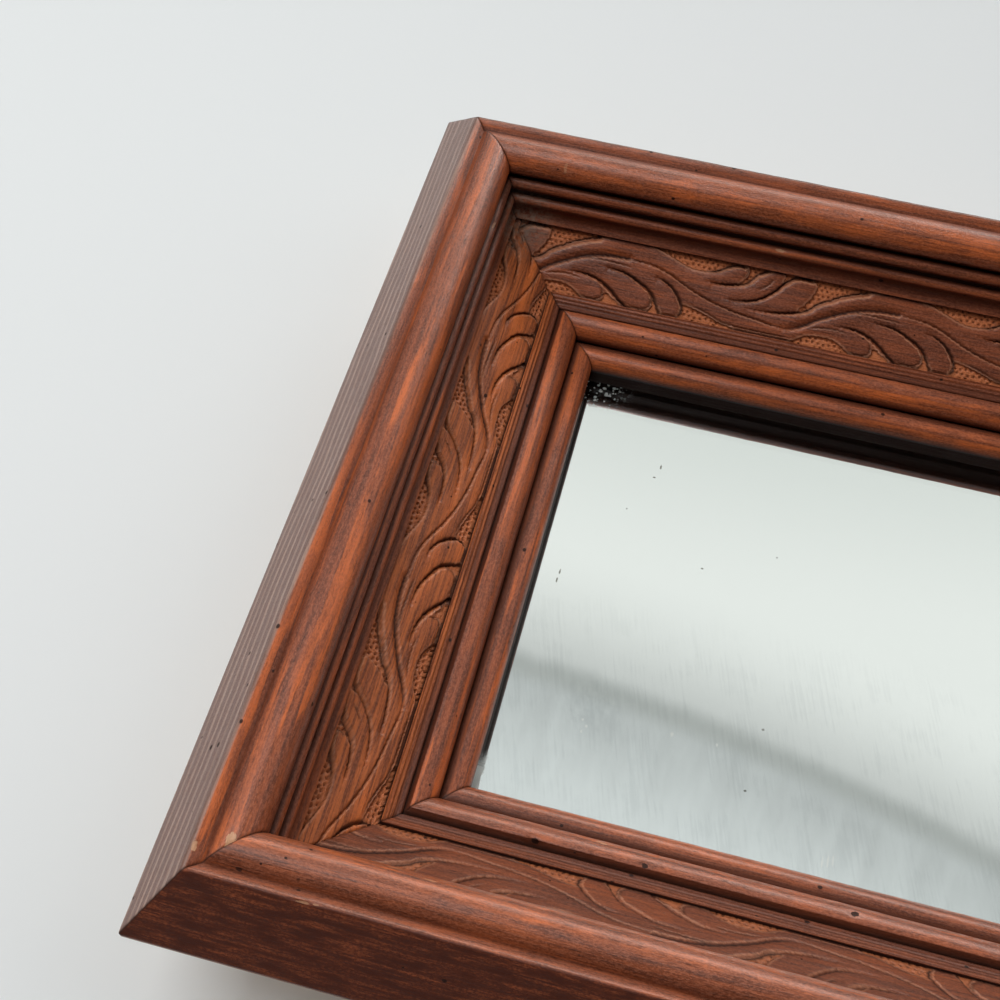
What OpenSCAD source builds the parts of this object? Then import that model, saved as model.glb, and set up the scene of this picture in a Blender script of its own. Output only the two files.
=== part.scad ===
// Wall mirror in a canted, carved pine moulding.
// The frame hangs upright: X runs along the width, Z is up, the front faces -Y.
// The origin is on the wall plane, behind the middle of the mirror.
// The moulding is one milled board, leaned towards the glass and mitred at the corners.
// Its section is drawn with u across the board's face, from the outer side to the sight edge,
// and v through its thickness, from its back to its front.

/* [Frame] */
// Width over the outer edges
frame_w = 419; // [380:1:560]
// Height over the outer edges
frame_h = 368; // [340:1:480]
// Lean of the board towards the glass, in degrees from the wall
cant = 37.5; // [34:0.5:41]
// Width shaved off the outer back edge
eased_edge = 1.2; // [0.6:0.1:2]

/* [Outer moulding] */
// Thickness of the board along its outer side
side_t = 31.2; // [29:0.1:34]
// Rounding of the front outer edge
arris_r = 1.5; // [0.5:0.1:2.5]
// Width of the flat facet beside the outer edge
facet_w = 5.3; // [4:0.1:7]
// Radius of the large round
round_r = 8.3; // [7:0.1:9]
// Height of the large round above the facet
round_rise = 8.1; // [7:0.1:9]
// Width of the large round, where the groove cuts it off
round_w = 15.2; // [13:0.1:16]
// Width of the groove beside the large round
groove_w = 0.6; // [0.4:0.1:1]
// Radius of the upper small bead
upper_bead_r = 2.4; // [2:0.1:2.8]
// How far the middle of the upper bead lies below the facet
upper_bead_drop = 0.9; // [0.6:0.1:1.2]
// Width of the step between the two small beads
bead_step_w = 1.2; // [0.8:0.1:1.6]
// Radius of the lower small bead
lower_bead_r = 2.1; // [1.6:0.1:2.5]
// How far the middle of the lower bead lies below the middle of the upper one
lower_bead_drop = 4.1; // [3.6:0.1:4.6]
// Depth of the groove below the middle of the upper bead
groove_drop = 3.3; // [2.8:0.1:3.8]
// Radius of the cove that runs down to the frieze
cove_r = 4; // [3:0.1:5]
// Width of the narrow fillet above the frieze
upper_fillet_w = 1.7; // [1:0.1:2.5]
// Height of the narrow fillet above the frieze's own level
upper_fillet_rise = 1.5; // [1:0.1:2]

/* [Frieze and inner moulding] */
// Width of the carved frieze
frieze_w = 27.2; // [24:0.1:31]
// Thickness of the board at the frieze
frieze_t = 20.4; // [19:0.1:22]
// Width of the flat fillet below the frieze
lower_fillet_w = 5; // [3:0.1:7]
// Height of the flat fillet above the frieze's own level
lower_fillet_rise = 0.8; // [0.4:0.1:1.2]
// Radius of the thin reed
reed_r = 0.95; // [0.6:0.05:1.3]
// Radius of the inner round
inner_round_r = 7.2; // [6.5:0.1:8]
// Width of the inner round
inner_round_w = 11.2; // [10:0.1:12.5]
// Distance of the inner round's top from its outer side
inner_round_top = 4.8; // [4:0.1:5.6]
// How far the middle of the inner round lies below the frieze's level
inner_round_drop = 1.1; // [0.8:0.1:1.4]
// Radius of the sight bead beside the glass
sight_bead_r = 5.5; // [4.8:0.1:6.2]
// Height of the middle of the sight bead above the frieze's level
sight_bead_rise = 0.5; // [0.2:0.1:0.8]

/* [Rebate and glazing] */
// How far the lip behind the sight bead is set back from the bead
lip_setback = 1.2; // [0.6:0.1:2]
// Depth from the middle of the sight bead to the glass
bead_to_glass = 10; // [9:0.1:12]
// Width of the rebate shoulder that the glass rests on
rebate_w = 4.1; // [3:0.1:5]
// Depth of the rebate
rebate_d = 8.2; // [7.6:0.1:10]
// Gap between the glass and the rebate wall
glass_gap = 0.4; // [0.2:0.1:1]
// Thickness of the glass
glass_t = 3; // [2:0.1:4]
// Thickness of the silver and its paint
silver_t = 0.2; // [0.1:0.05:0.4]
// Thickness of the hardboard backing
backing_t = 3; // [2:0.1:3.4]
// Thickness of a glazing point
point_t = 0.6; // [0.4:0.1:0.8]
// Width of a glazing point
point_w = 9; // [6:0.5:12]
// Length of a glazing point
point_l = 13; // [11:0.5:16]
// Wood left between a glazing point and the nearest hanger screw
point_clear = 2; // [1:0.5:5]

/* [Corner joints] */
// Length of one wing of a V nail
v_nail_wing = 5; // [4:0.5:6]
// Thickness of a V nail
v_nail_t = 0.6; // [0.4:0.1:0.8]
// Height of a V nail
v_nail_h = 12; // [8:0.5:14]
// How far a V nail is driven below the wood
v_nail_sunk = 0.5; // [0.2:0.1:1.5]
// Wood left between the inner V nail and the rebate
v_nail_wood = 1; // [0.5:0.1:2]
// Distance of the outer V nail in from the outer edge
outer_nail_in = 32; // [28:0.5:36]

/* [Hangers] */
// Distance of the ring pivots below the top edge
hanger_drop = 110; // [95:1:130]
// Width of a hanger strap
strap_w = 9; // [7:0.5:10]
// Length of a hanger strap below its ring pivot
strap_l = 33; // [32:0.5:40]
// Thickness of a hanger strap
strap_t = 1; // [0.8:0.1:1.2]
// Radius of the ring's wire
wire_r = 1.1; // [0.9:0.1:1.3]
// Gap round the wire in the rolled strap
wire_gap = 0.05; // [0.03:0.01:0.08]
// Radius of the round end of the ring, at the middle of the wire
ring_r = 7.1; // [6.5:0.1:8]
// Length of the straight arms of the ring
ring_arm = 5; // [4:0.1:6]
// Radius of the screw shank
screw_r = 1.6; // [1.3:0.1:1.9]
// Length of the screw shank under the head
screw_l = 15; // [12:0.5:18]
// Radius of the screw head
screw_head_r = 3.3; // [2.8:0.1:3.6]
// Radius of the screw head's flat top
screw_top_r = 2.6; // [2:0.1:2.7]
// Height of the screw head
screw_head_h = 1.9; // [1.5:0.1:2.2]
// Radius of the screw's blunt tip
screw_tip_r = 0.5; // [0.3:0.1:0.8]
// Gap round the screw shank
screw_gap = 0.05; // [0.03:0.01:0.1]
// Distance of the first screw below the ring pivot
first_screw = 18; // [17.5:0.5:20]
// Distance between the two screws
screw_pitch = 10; // [8:0.5:11]

/* [Bumpers] */
// Radius of a rubber bumper
bumper_r = 5; // [3.5:0.1:5.2]
// Thickness of a rubber bumper
bumper_t = 4.5; // [4.4:0.1:6]
// Gap between a rolled strap and the wall, at least
wall_gap = 0.1; // [0.1:0.1:1]
// Distance of a bumper from the corner of the back land
bumper_inset = 14; // [8:1:40]

/* [Hidden] */
$fn = 64;

// Reach of a cutting shape past what it cuts
past = 150;
// Overlap of two cutting shapes, so that no skin is left between them
bite = 1;

// Places across the board's face, from the outer side inwards
round_end = facet_w + round_w;
upper_bead_u = round_end + groove_w + upper_bead_r;
step_u = upper_bead_u + upper_bead_r;
lower_bead_u = step_u + bead_step_w + lower_bead_r;
cove_u = lower_bead_u + lower_bead_r;
fillet_u = cove_u + cove_r;
frieze_u = fillet_u + upper_fillet_w;
frieze_end = frieze_u + frieze_w;
reed_u = frieze_end + lower_fillet_w + reed_r;
inner_round_u = reed_u + reed_r;
inner_round_end = inner_round_u + inner_round_w;
sight_bead_u = inner_round_end + groove_w + sight_bead_r;
board_end = sight_bead_u + 4 * sight_bead_r;

// Levels through the board's thickness
round_v = side_t + round_rise - round_r;
upper_bead_v = side_t - upper_bead_drop;
lower_bead_v = upper_bead_v - lower_bead_drop;
groove_floor_v = upper_bead_v - groove_drop;
fillet_v = frieze_t + upper_fillet_rise;
cove_top_v = fillet_v + cove_r;
lower_fillet_v = frieze_t + lower_fillet_rise;
reed_v = lower_fillet_v - reed_r / 3;
inner_round_v = frieze_t - inner_round_drop;
sight_bead_v = frieze_t + sight_bead_rise;

// Distance in from the outer corner of the board, and distance forward of it
function in_from_edge(u, v) = u * cos(cant) + v * sin(cant);
function forward(u, v) = v * cos(cant) - u * sin(cant);

bead_in = in_from_edge(sight_bead_u, sight_bead_v);
bead_forward = forward(sight_bead_u, sight_bead_v);
lip_in = bead_in + sight_bead_r - lip_setback;
wall_in = lip_in - rebate_w;
glass_level = bead_forward - bead_to_glass;
land_level = glass_level - rebate_d;
land_outer_in = -land_level / tan(cant);
land_mid_in = (land_outer_in + wall_in) / 2;

// The same places in the hung frame
barrel_r = wire_r + wire_gap + strap_t;
land_y = -max(bumper_t, 2 * barrel_r + wall_gap);
board_y = land_y + land_level;
glass_front_y = board_y - glass_level;
glass_back_y = glass_front_y + glass_t;
silver_back_y = glass_back_y + silver_t;
backing_back_y = silver_back_y + backing_t;
opening_w = frame_w - 2 * (wall_in - eased_edge);
opening_h = frame_h - 2 * (wall_in - eased_edge);
glass_w = opening_w - 2 * glass_gap;
glass_h = opening_h - 2 * glass_gap;
land_x = frame_w / 2 - (land_mid_in - eased_edge);
land_z = frame_h / 2 - (land_mid_in - eased_edge);
pivot_y = land_y + barrel_r;
pivot_z = frame_h / 2 - hanger_drop;
strap_face_y = land_y + strap_t;
point_bite = point_l / 2;
last_screw_z = pivot_z - first_screw - screw_pitch;
side_point_z = last_screw_z - screw_r - screw_gap - point_clear - point_w / 2;

// A rectangle of the section, standing on the board's back
module step(from_u, to_u, top_v) {
    translate([from_u, 0]) square([to_u - from_u, top_v]);
}

// The milled face of the board, square to its own back
module milled_section() {
    difference() {
        union() {
            step(arris_r, facet_w, side_t);
            step(0, arris_r + bite, side_t - arris_r);
            translate([arris_r, side_t - arris_r]) circle(arris_r);
            step(facet_w - bite, round_end, round_v);
            intersection() {
                translate([facet_w + round_r, round_v]) circle(round_r);
                step(0, round_end, side_t + round_rise + bite);
            }
            step(round_end - bite, fillet_u, groove_floor_v - bite);
            step(round_end + groove_w, step_u, upper_bead_v);
            translate([upper_bead_u, upper_bead_v]) circle(upper_bead_r);
            step(lower_bead_u - lower_bead_r, cove_u, lower_bead_v);
            translate([lower_bead_u, lower_bead_v]) circle(lower_bead_r);
            step(cove_u - bite / 2, fillet_u, cove_top_v - bite);
        }
        translate([fillet_u, cove_top_v]) circle(cove_r);
    }
    step(fillet_u - bite / 2, frieze_u, fillet_v);
    step(frieze_u - bite, frieze_end + bite, frieze_t);
    step(frieze_end, inner_round_u, lower_fillet_v);
    translate([reed_u, reed_v]) circle(reed_r);
    step(inner_round_u - bite / 2, inner_round_end, inner_round_v);
    intersection() {
        translate([inner_round_u + inner_round_top, inner_round_v]) circle(inner_round_r);
        step(inner_round_u, inner_round_end, inner_round_v + 2 * inner_round_r);
    }
    step(inner_round_end - bite, board_end, inner_round_v);
    step(inner_round_end + groove_w, sight_bead_u, sight_bead_v);
}

// The section as it stands in the frame: x in from the outer corner, y forward of it
module leaned_section() {
    difference() {
        union() {
            intersection() {
                rotate(-cant) milled_section();
                translate([-past, -past]) square([past + lip_in, 2 * past]);
            }
            translate([bead_in, bead_forward]) circle(sight_bead_r);
        }
        translate([-past, -past]) square([past + eased_edge, 2 * past]);
        translate([-past, land_level - past]) square([3 * past, past]);
        translate([wall_in, land_level - past]) square([past, past + rebate_d]);
    }
}

// One mitred rail, its outer edge on z = 0 and the glass above it
module plain_rail(rail_l) {
    reach = bead_in + sight_bead_r + bite;
    intersection() {
        translate([-rail_l / 2, board_y, 0]) rotate([180, -90, 0])
            linear_extrude(rail_l) translate([-eased_edge, 0]) leaned_section();
        rotate([90, 0, 0]) linear_extrude(past)
            polygon([[-rail_l / 2, 0], [rail_l / 2, 0],
                    [rail_l / 2 - reach, reach], [reach - rail_l / 2, reach]]);
    }
}

module on_bottom() { translate([0, 0, -frame_h / 2]) children(); }
module on_top() { translate([0, 0, frame_h / 2]) rotate([0, 180, 0]) children(); }
module on_left() { translate([-frame_w / 2, 0, 0]) rotate([0, 90, 0]) children(); }
module on_right() { translate([frame_w / 2, 0, 0]) rotate([0, -90, 0]) children(); }

// A bent V of steel that spans a mitre, its point towards the glass
module v_nail(height) {
    rotate([90, 0, 0]) linear_extrude(height) for (turn = [0, 90])
        rotate(turn) translate([-v_nail_t, -v_nail_t]) square([v_nail_wing, v_nail_t]);
}

// Where the V nails stand along a mitre: distance in from the outer edge, and the wood's back there
v_nail_places = [
    [wall_in - v_nail_wing + v_nail_t - v_nail_wood, land_level],
    [outer_nail_in, (v_nail_wing - outer_nail_in) * tan(cant)]
];

module at_corners() {
    for (side_x = [-1, 1], side_z = [-1, 1])
        mirror([side_x > 0 ? 1 : 0, 0, 0]) mirror([0, 0, side_z > 0 ? 1 : 0]) children();
}

module corner_nail_set(sunk, height) {
    at_corners() for (place = v_nail_places)
        translate([place[0] - eased_edge - frame_w / 2, board_y - place[1] - sunk,
                place[0] - eased_edge - frame_h / 2])
            v_nail(height);
}

// The nails' slots are open to the back of the wood
module corner_nail_slots() {
    corner_nail_set(-v_nail_wing, v_nail_h + v_nail_sunk + v_nail_wing);
}

// Glazing points lie flat on the backing, half in the rebate wall
module point_row(places, half_opening) {
    for (place = places)
        translate([place - point_w / 2, backing_back_y, -half_opening - point_bite])
            cube([point_w, point_t, point_l]);
}

module long_points() {
    for (turn = [0, 180])
        rotate([0, turn, 0]) point_row([-glass_w / 3, 0, glass_w / 3], opening_h / 2);
}

module short_points() {
    for (turn = [90, -90])
        rotate([0, turn, 0]) point_row([-side_point_z, side_point_z], opening_w / 2);
}

module at_hanger(side_x) { translate([side_x * land_x, 0, pivot_z]) children(); }

module at_screws() {
    for (i = [0, 1])
        translate([0, 0, -first_screw - i * screw_pitch]) children();
}

module screw_shank(r, l) {
    translate([0, strap_face_y, 0]) rotate([90, 0, 0]) cylinder(h = l, r = r);
}

module screw_holes(side_x) {
    at_hanger(side_x) at_screws() screw_shank(screw_r + screw_gap, screw_l + 2 * screw_gap);
}

module upright_cuts(side_x) {
    screw_holes(side_x);
    short_points();
    corner_nail_slots();
}

module level_cuts() {
    long_points();
    corner_nail_slots();
}

module left_rail() {
    color("#7a4032") difference() {
        on_left() plain_rail(frame_h);
        upright_cuts(-1);
    }
}

module right_rail() {
    color("#7a4032") difference() {
        on_right() plain_rail(frame_h);
        upright_cuts(1);
    }
}

module top_rail() {
    color("#6e382c") difference() {
        on_top() plain_rail(frame_w);
        level_cuts();
    }
}

module bottom_rail() {
    color("#6e382c") difference() {
        on_bottom() plain_rail(frame_w);
        level_cuts();
    }
}

module sheet_pane(front_y, thickness) {
    translate([-glass_w / 2, front_y, -glass_h / 2]) cube([glass_w, thickness, glass_h]);
}

module mirror_glass() { color("#d6dcd8", 0.5) sheet_pane(glass_front_y, glass_t); }
module mirror_silvering() { color("#c4c8c6") sheet_pane(glass_back_y, silver_t); }
module backing_board() { color("#6b4a30") sheet_pane(silver_back_y, backing_t); }

module glazing_points() {
    color("#9a9c9e") {
        long_points();
        short_points();
    }
}

module corner_v_nails() { color("#8a8c90") corner_nail_set(v_nail_sunk, v_nail_h); }

module hanger_strap(side_x) {
    at_hanger(side_x) difference() {
        union() {
            translate([-strap_w / 2, pivot_y, 0]) rotate([0, 90, 0]) cylinder(h = strap_w, r = barrel_r);
            translate([-strap_w / 2, land_y, strap_w / 2 - strap_l])
                cube([strap_w, strap_t, strap_l - strap_w / 2]);
            translate([0, strap_face_y, strap_w / 2 - strap_l]) rotate([90, 0, 0])
                cylinder(h = strap_t, r = strap_w / 2);
        }
        translate([-strap_w, pivot_y, 0]) rotate([0, 90, 0])
            cylinder(h = 2 * strap_w, r = wire_r + wire_gap);
        at_screws() translate([0, bite, 0]) screw_shank(screw_r + screw_gap, strap_t + 2 * bite);
    }
}

module left_hanger_strap() { color("#b9a46a") hanger_strap(-1); }
module right_hanger_strap() { color("#b9a46a") hanger_strap(1); }

// The ring is a D of wire, hanging from its straight bar
module hanger_ring(side_x) {
    at_hanger(side_x) translate([0, pivot_y, 0]) {
        translate([-ring_r, 0, 0]) rotate([0, 90, 0]) cylinder(h = 2 * ring_r, r = wire_r);
        for (end = [-1, 1]) {
            translate([end * ring_r, 0, 0]) sphere(wire_r);
            translate([end * ring_r, 0, -ring_arm]) cylinder(h = ring_arm, r = wire_r);
        }
        translate([0, 0, -ring_arm]) rotate([-90, 0, 0])
            rotate_extrude(angle = 180) translate([ring_r, 0]) circle(wire_r);
    }
}

module left_hanger_ring() { color("#c2ad72") hanger_ring(-1); }
module right_hanger_ring() { color("#c2ad72") hanger_ring(1); }

module hanger_screws(side_x) {
    at_hanger(side_x) at_screws() {
        screw_shank(screw_r, screw_l - screw_r);
        translate([0, strap_face_y - screw_l + screw_r, 0]) rotate([90, 0, 0])
            cylinder(h = screw_r, r1 = screw_r, r2 = screw_tip_r);
        translate([0, strap_face_y + screw_head_h, 0]) rotate([90, 0, 0])
            cylinder(h = screw_head_h, r1 = screw_top_r, r2 = screw_head_r);
    }
}

module left_hanger_screws() { color("#b9a46a") hanger_screws(-1); }
module right_hanger_screws() { color("#b9a46a") hanger_screws(1); }

module wall_bumpers() {
    color("#3a3632") for (side_x = [-1, 1])
        translate([side_x * (land_x - bumper_inset), 0, -land_z]) rotate([90, 0, 0])
            cylinder(h = -land_y, r = bumper_r);
}

left_rail();
right_rail();
top_rail();
bottom_rail();
mirror_glass();
mirror_silvering();
backing_board();
glazing_points();
corner_v_nails();
left_hanger_strap();
right_hanger_strap();
left_hanger_ring();
right_hanger_ring();
left_hanger_screws();
right_hanger_screws();
wall_bumpers();
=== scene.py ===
import math

import bmesh
import bpy
import numpy as np
from mathutils import Matrix, Vector


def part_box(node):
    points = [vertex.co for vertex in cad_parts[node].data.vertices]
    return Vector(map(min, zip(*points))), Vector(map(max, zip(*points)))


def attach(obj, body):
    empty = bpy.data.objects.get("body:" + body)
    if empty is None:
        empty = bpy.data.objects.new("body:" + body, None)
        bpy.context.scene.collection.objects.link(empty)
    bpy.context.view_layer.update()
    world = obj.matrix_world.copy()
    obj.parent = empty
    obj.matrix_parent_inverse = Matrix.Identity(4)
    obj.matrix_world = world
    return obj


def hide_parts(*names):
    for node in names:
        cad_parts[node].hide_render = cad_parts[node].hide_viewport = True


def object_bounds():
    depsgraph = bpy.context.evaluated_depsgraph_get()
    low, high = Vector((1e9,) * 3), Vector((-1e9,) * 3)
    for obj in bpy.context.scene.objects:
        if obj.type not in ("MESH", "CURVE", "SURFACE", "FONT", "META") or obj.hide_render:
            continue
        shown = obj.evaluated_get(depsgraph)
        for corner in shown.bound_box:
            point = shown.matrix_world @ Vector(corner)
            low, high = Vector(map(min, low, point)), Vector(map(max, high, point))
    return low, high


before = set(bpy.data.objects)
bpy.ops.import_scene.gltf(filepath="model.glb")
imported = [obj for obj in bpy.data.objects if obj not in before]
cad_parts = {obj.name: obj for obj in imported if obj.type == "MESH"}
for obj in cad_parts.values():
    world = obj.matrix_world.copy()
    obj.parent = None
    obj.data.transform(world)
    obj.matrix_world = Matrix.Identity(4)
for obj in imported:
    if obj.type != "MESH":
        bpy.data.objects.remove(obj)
cad_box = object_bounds()

# The camera
# It looks up at the hung mirror from below its left half, close to the wall and rolled to the left.
CAMERA_PLACE = Vector((-0.0764, -0.4923, -0.2729))
CAMERA_AIM = Vector((-0.1462, 0.0, 0.0367))
CAMERA_ROLL = math.radians(17.36)
LENS_MM = 50.53

camera_data = bpy.data.cameras.new("camera")
camera_data.lens = LENS_MM
camera_data.sensor_width = 36.0
camera = bpy.data.objects.new("camera", camera_data)
camera.location = CAMERA_PLACE
aim = (CAMERA_AIM - CAMERA_PLACE).to_track_quat("-Z", "Y")
camera.rotation_euler = (aim.to_matrix() @ Matrix.Rotation(CAMERA_ROLL, 3, "Z")).to_euler()
bpy.context.collection.objects.link(camera)
bpy.context.scene.camera = camera


# The wall behind the mirror, and the light
# A pale painted wall, seen only from the front, that fades into the pale world around it.
WALL_GAP = 0.0005
WALL_REACH = 3.0
WALL_FADE = (0.9, 1.6)
WALL_COLOUR = (0.775, 0.80, 0.80, 1.0)
PALE = (0.70, 0.715, 0.71, 1.0)
WHITE = (1.0, 1.0, 1.0, 1.0)


class Field:
    """An output of a node, which changes over a surface. Arithmetic on it adds Math nodes to its tree."""

    def __init__(self, tree, socket):
        self.tree, self.socket = tree, socket

    def __add__(self, other):
        return sums("ADD", self, other)

    def __sub__(self, other):
        return sums("SUBTRACT", self, other)

    def __rsub__(self, other):
        return sums("SUBTRACT", other, self)

    def __mul__(self, other):
        return sums("MULTIPLY", self, other)

    def __truediv__(self, other):
        return sums("DIVIDE", self, other)

    def __rtruediv__(self, other):
        return sums("DIVIDE", other, self)

    def __pow__(self, other):
        return sums("POWER", self, other)

    def __gt__(self, other):
        return sums("GREATER_THAN", self, other)

    def held(self):
        """The same field, held between 0 and 1 by the Math node that makes it."""
        self.socket.node.use_clamp = True
        return self


def add(tree, kind, inputs=None, **settings):
    """One node of that kind: settings are its own values, and inputs set or link its sockets."""
    made = tree.nodes.new(kind)
    for name, value in settings.items():
        setattr(made, name, value)
    for socket, value in (inputs or {}).items():
        if isinstance(value, Field):
            tree.links.new(value.socket, made.inputs[socket])
        else:
            made.inputs[socket].default_value = value
    return made


def field(tree, kind, inputs=None, output=0, **settings):
    """One output of a new node."""
    return Field(tree, add(tree, kind, inputs, **settings).outputs[output])


def tree_of(*values):
    """The tree of the first field among the values."""
    return next(value.tree for value in values if isinstance(value, Field))


def sums(operation, *values):
    """What a Math node makes of the values, which are numbers or fields."""
    return field(tree_of(*values), "ShaderNodeMath", dict(enumerate(values)), operation=operation)


def vectors(operation, *values):
    """What a Vector Math node makes of the values: a number for LENGTH or DISTANCE, or else a vector."""
    output = "Value" if operation in ("LENGTH", "DISTANCE") else 0
    inputs = dict(enumerate(values))
    return field(tree_of(*values), "ShaderNodeVectorMath", inputs, output, operation=operation)


def split(vector):
    """The three numbers of a vector."""
    outputs = add(vector.tree, "ShaderNodeSeparateXYZ", {0: vector}).outputs
    return [Field(vector.tree, socket) for socket in outputs]


def most(largest, *others):
    """The largest of the fields at each place."""
    for other in others:
        largest = sums("MAXIMUM", largest, other)
    return largest


def blend(share, first, second):
    """The colour that goes from the first to the second as share goes from 0 to 1."""
    inputs = {0: share, 6: first, 7: second}
    return field(tree_of(share, first, second), "ShaderNodeMix", inputs, 2, data_type="RGBA")


def rise(value, low, high):
    """0 up to low, 1 from high, and a smooth climb between them."""
    inputs = {0: value, 1: low, 2: high}
    return field(value.tree, "ShaderNodeMapRange", inputs, interpolation_type="SMOOTHSTEP")


def noise(vector, detail=2.0, roughness=0.5, scale=1.0):
    """Smooth noise of about 0.3 to 0.7 at a scale of one unit of the vector."""
    inputs = {"Vector": vector, "Scale": scale, "Detail": detail, "Roughness": roughness}
    return field(vector.tree, "ShaderNodeTexNoise", inputs)


def drawn_out(vector, sizes, detail=2.0, roughness=0.5):
    """Smooth noise whose features have those three sizes: noise of the vector divided by them."""
    return noise(vectors("MULTIPLY", vector, tuple(1 / size for size in sizes)), detail, roughness)


def blank_material(name):
    """A material with an empty node tree, and its object coordinates."""
    material = bpy.data.materials.new(name)
    material.use_nodes = True
    material.node_tree.nodes.clear()
    return material, field(material.node_tree, "ShaderNodeTexCoord", output="Object")


def show(shader, output="ShaderNodeOutputMaterial"):
    """Links the shader to a new output node of its tree."""
    shader.tree.links.new(shader.socket, shader.tree.nodes.new(output).inputs["Surface"])


def wall_material():
    """Matt paint, see-through from behind, to shadow rays and past the fade's outer radius."""
    material, place = blank_material("wall_paint")
    behind = field(place.tree, "ShaderNodeNewGeometry", output="Backfacing")
    shadow = field(place.tree, "ShaderNodeLightPath", output="Is Shadow Ray")
    unseen = most(behind, shadow, rise(vectors("LENGTH", place), *WALL_FADE))
    paint = field(place.tree, "ShaderNodeBsdfDiffuse", {"Color": WALL_COLOUR})
    clear = field(place.tree, "ShaderNodeBsdfTransparent")
    show(field(place.tree, "ShaderNodeMixShader", {0: unseen, 1: paint, 2: clear}))
    return material


wall_mesh = bpy.data.meshes.new("wall")
wall_corners = [(x * WALL_REACH, WALL_GAP, z * WALL_REACH) for x, z in ((-1, -1), (1, -1), (1, 1), (-1, 1))]
wall_mesh.from_pydata(wall_corners, [], [(0, 1, 2, 3)])
wall_mesh.materials.append(wall_material())
wall = bpy.data.objects.new("wall", wall_mesh)
bpy.context.collection.objects.link(wall)

LAMPS = {
    "key": dict(place=(-0.6, -1.8, 0.0), size=1.0, watts=17.0),
    "window": dict(place=(-1.15, -0.9, 0.1), size=1.2, watts=4.4),
    "overhead": dict(place=(0.5, -1.1, 2.0), size=1.0, watts=7.6),
    "sheen": dict(place=(0.0, -1.2, 2.0), size=2.4, height=0.45, watts=41.0, on_paint=False,
                  colour=(1.0, 0.90, 0.82)),
    "front_fill": dict(place=(1.5, -1.6, 0.5), size=1.4, watts=3.8),
    "back_fill": dict(place=(-0.5, 1.6, 0.9), size=1.6, watts=16.0),
}
for lamp_name, lamp in LAMPS.items():
    lamp_data = bpy.data.lights.new(lamp_name, "AREA")
    lamp_data.shape = "RECTANGLE"
    lamp_data.size, lamp_data.size_y = lamp["size"], lamp.get("height", lamp["size"])
    lamp_data.energy = lamp["watts"]
    lamp_data.color = lamp.get("colour", WHITE[:3])
    lamp_object = bpy.data.objects.new(lamp_name, lamp_data)
    lamp_object.location = lamp["place"]
    lamp_object.rotation_euler = (-Vector(lamp["place"])).to_track_quat("-Z", "Y").to_euler()
    lamp_object.visible_transmission = False
    lamp_object.visible_diffuse = lamp.get("on_paint", True)
    bpy.context.collection.objects.link(lamp_object)

# The world lights the room from above, and is dimmer in the wood's sheen. In the mirror it is a pale room:
# a soft grey beam bends across it, with a bright ceiling above the beam and a greyer wall below.
LIT = (0.11, 0.58)
SHEEN = (0.03, 0.55)
LIGHT_CURVE = 1.4
BEAM_LINE = (0.4272, -0.0885, -0.506)
BEAM_WIDTH = 0.010
BEAM_SOFT = 0.006
HALO = 0.075
BELOW_BEAM = 0.085
CEILING = (0.90, 0.93, 0.90, 1.0)
CEILING_FAR = (0.72, 0.76, 0.73, 1.0)
BEAM_EDGE = (0.60, 0.625, 0.61, 1.0)
BEAM = (0.43, 0.455, 0.44, 1.0)
UNDER_BEAM = (0.50, 0.53, 0.525, 1.0)
LOWER_WALL = (0.70, 0.745, 0.74, 1.0)


def room_in_mirror(way):
    """The pale room by direction. The beam's height is rest + x (slope + bend x), a little smeared."""
    x, _, z = split(way)
    rest, slope, bend = BEAM_LINE
    smear = drawn_out(way, (0.016, 0.3, 0.07), 5.0, 0.65)
    above = z - (x * (x * bend + slope) + rest) + (smear - 0.5) * 0.007
    below = above * -1.0
    ceiling = blend(rise(z, 0.50, 0.64), CEILING, CEILING_FAR)
    ceiling = blend(rise(above, BEAM_WIDTH, BEAM_WIDTH + HALO) ** 0.6, BEAM_EDGE, ceiling)
    mottled = (rise(below, 0.0, BELOW_BEAM) + smear * 1.2 - 0.5).held()
    view = blend(rise(above, BEAM_WIDTH - BEAM_SOFT, BEAM_WIDTH + BEAM_SOFT), BEAM, ceiling)
    return blend(rise(below, -0.003, 0.010), view, blend(mottled, UNDER_BEAM, LOWER_WALL))


def background(colour, up, low, high):
    """Light of that colour: its strength goes from low at the floor to high overhead, by a power of up."""
    strength = up ** LIGHT_CURVE * (high - low) + low
    return field(up.tree, "ShaderNodeBackground", {"Color": colour, "Strength": strength})


def pale_room():
    """The world: one colour for the camera, and others for diffuse, glossy and transmitted rays."""
    room = bpy.data.worlds.new("pale_room")
    room.use_nodes = True
    room.node_tree.nodes.clear()
    way = field(room.node_tree, "ShaderNodeTexCoord", output="Generated")
    up = rise(split(way)[2], -0.4, 0.8)
    around = background(WHITE, up, *LIT)
    for ray, shown in (("Is Glossy Ray", background(WHITE, up, *SHEEN)),
                       ("Is Transmission Ray", background(room_in_mirror(way), up, 1.0, 1.0)),
                       ("Is Camera Ray", background(PALE, up, 1.0, 1.0))):
        share = field(way.tree, "ShaderNodeLightPath", output=ray)
        around = field(way.tree, "ShaderNodeMixShader", {0: share, 1: around, 2: shown})
    show(around, "ShaderNodeOutputWorld")
    return room


bpy.context.scene.world = pale_room()


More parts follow.
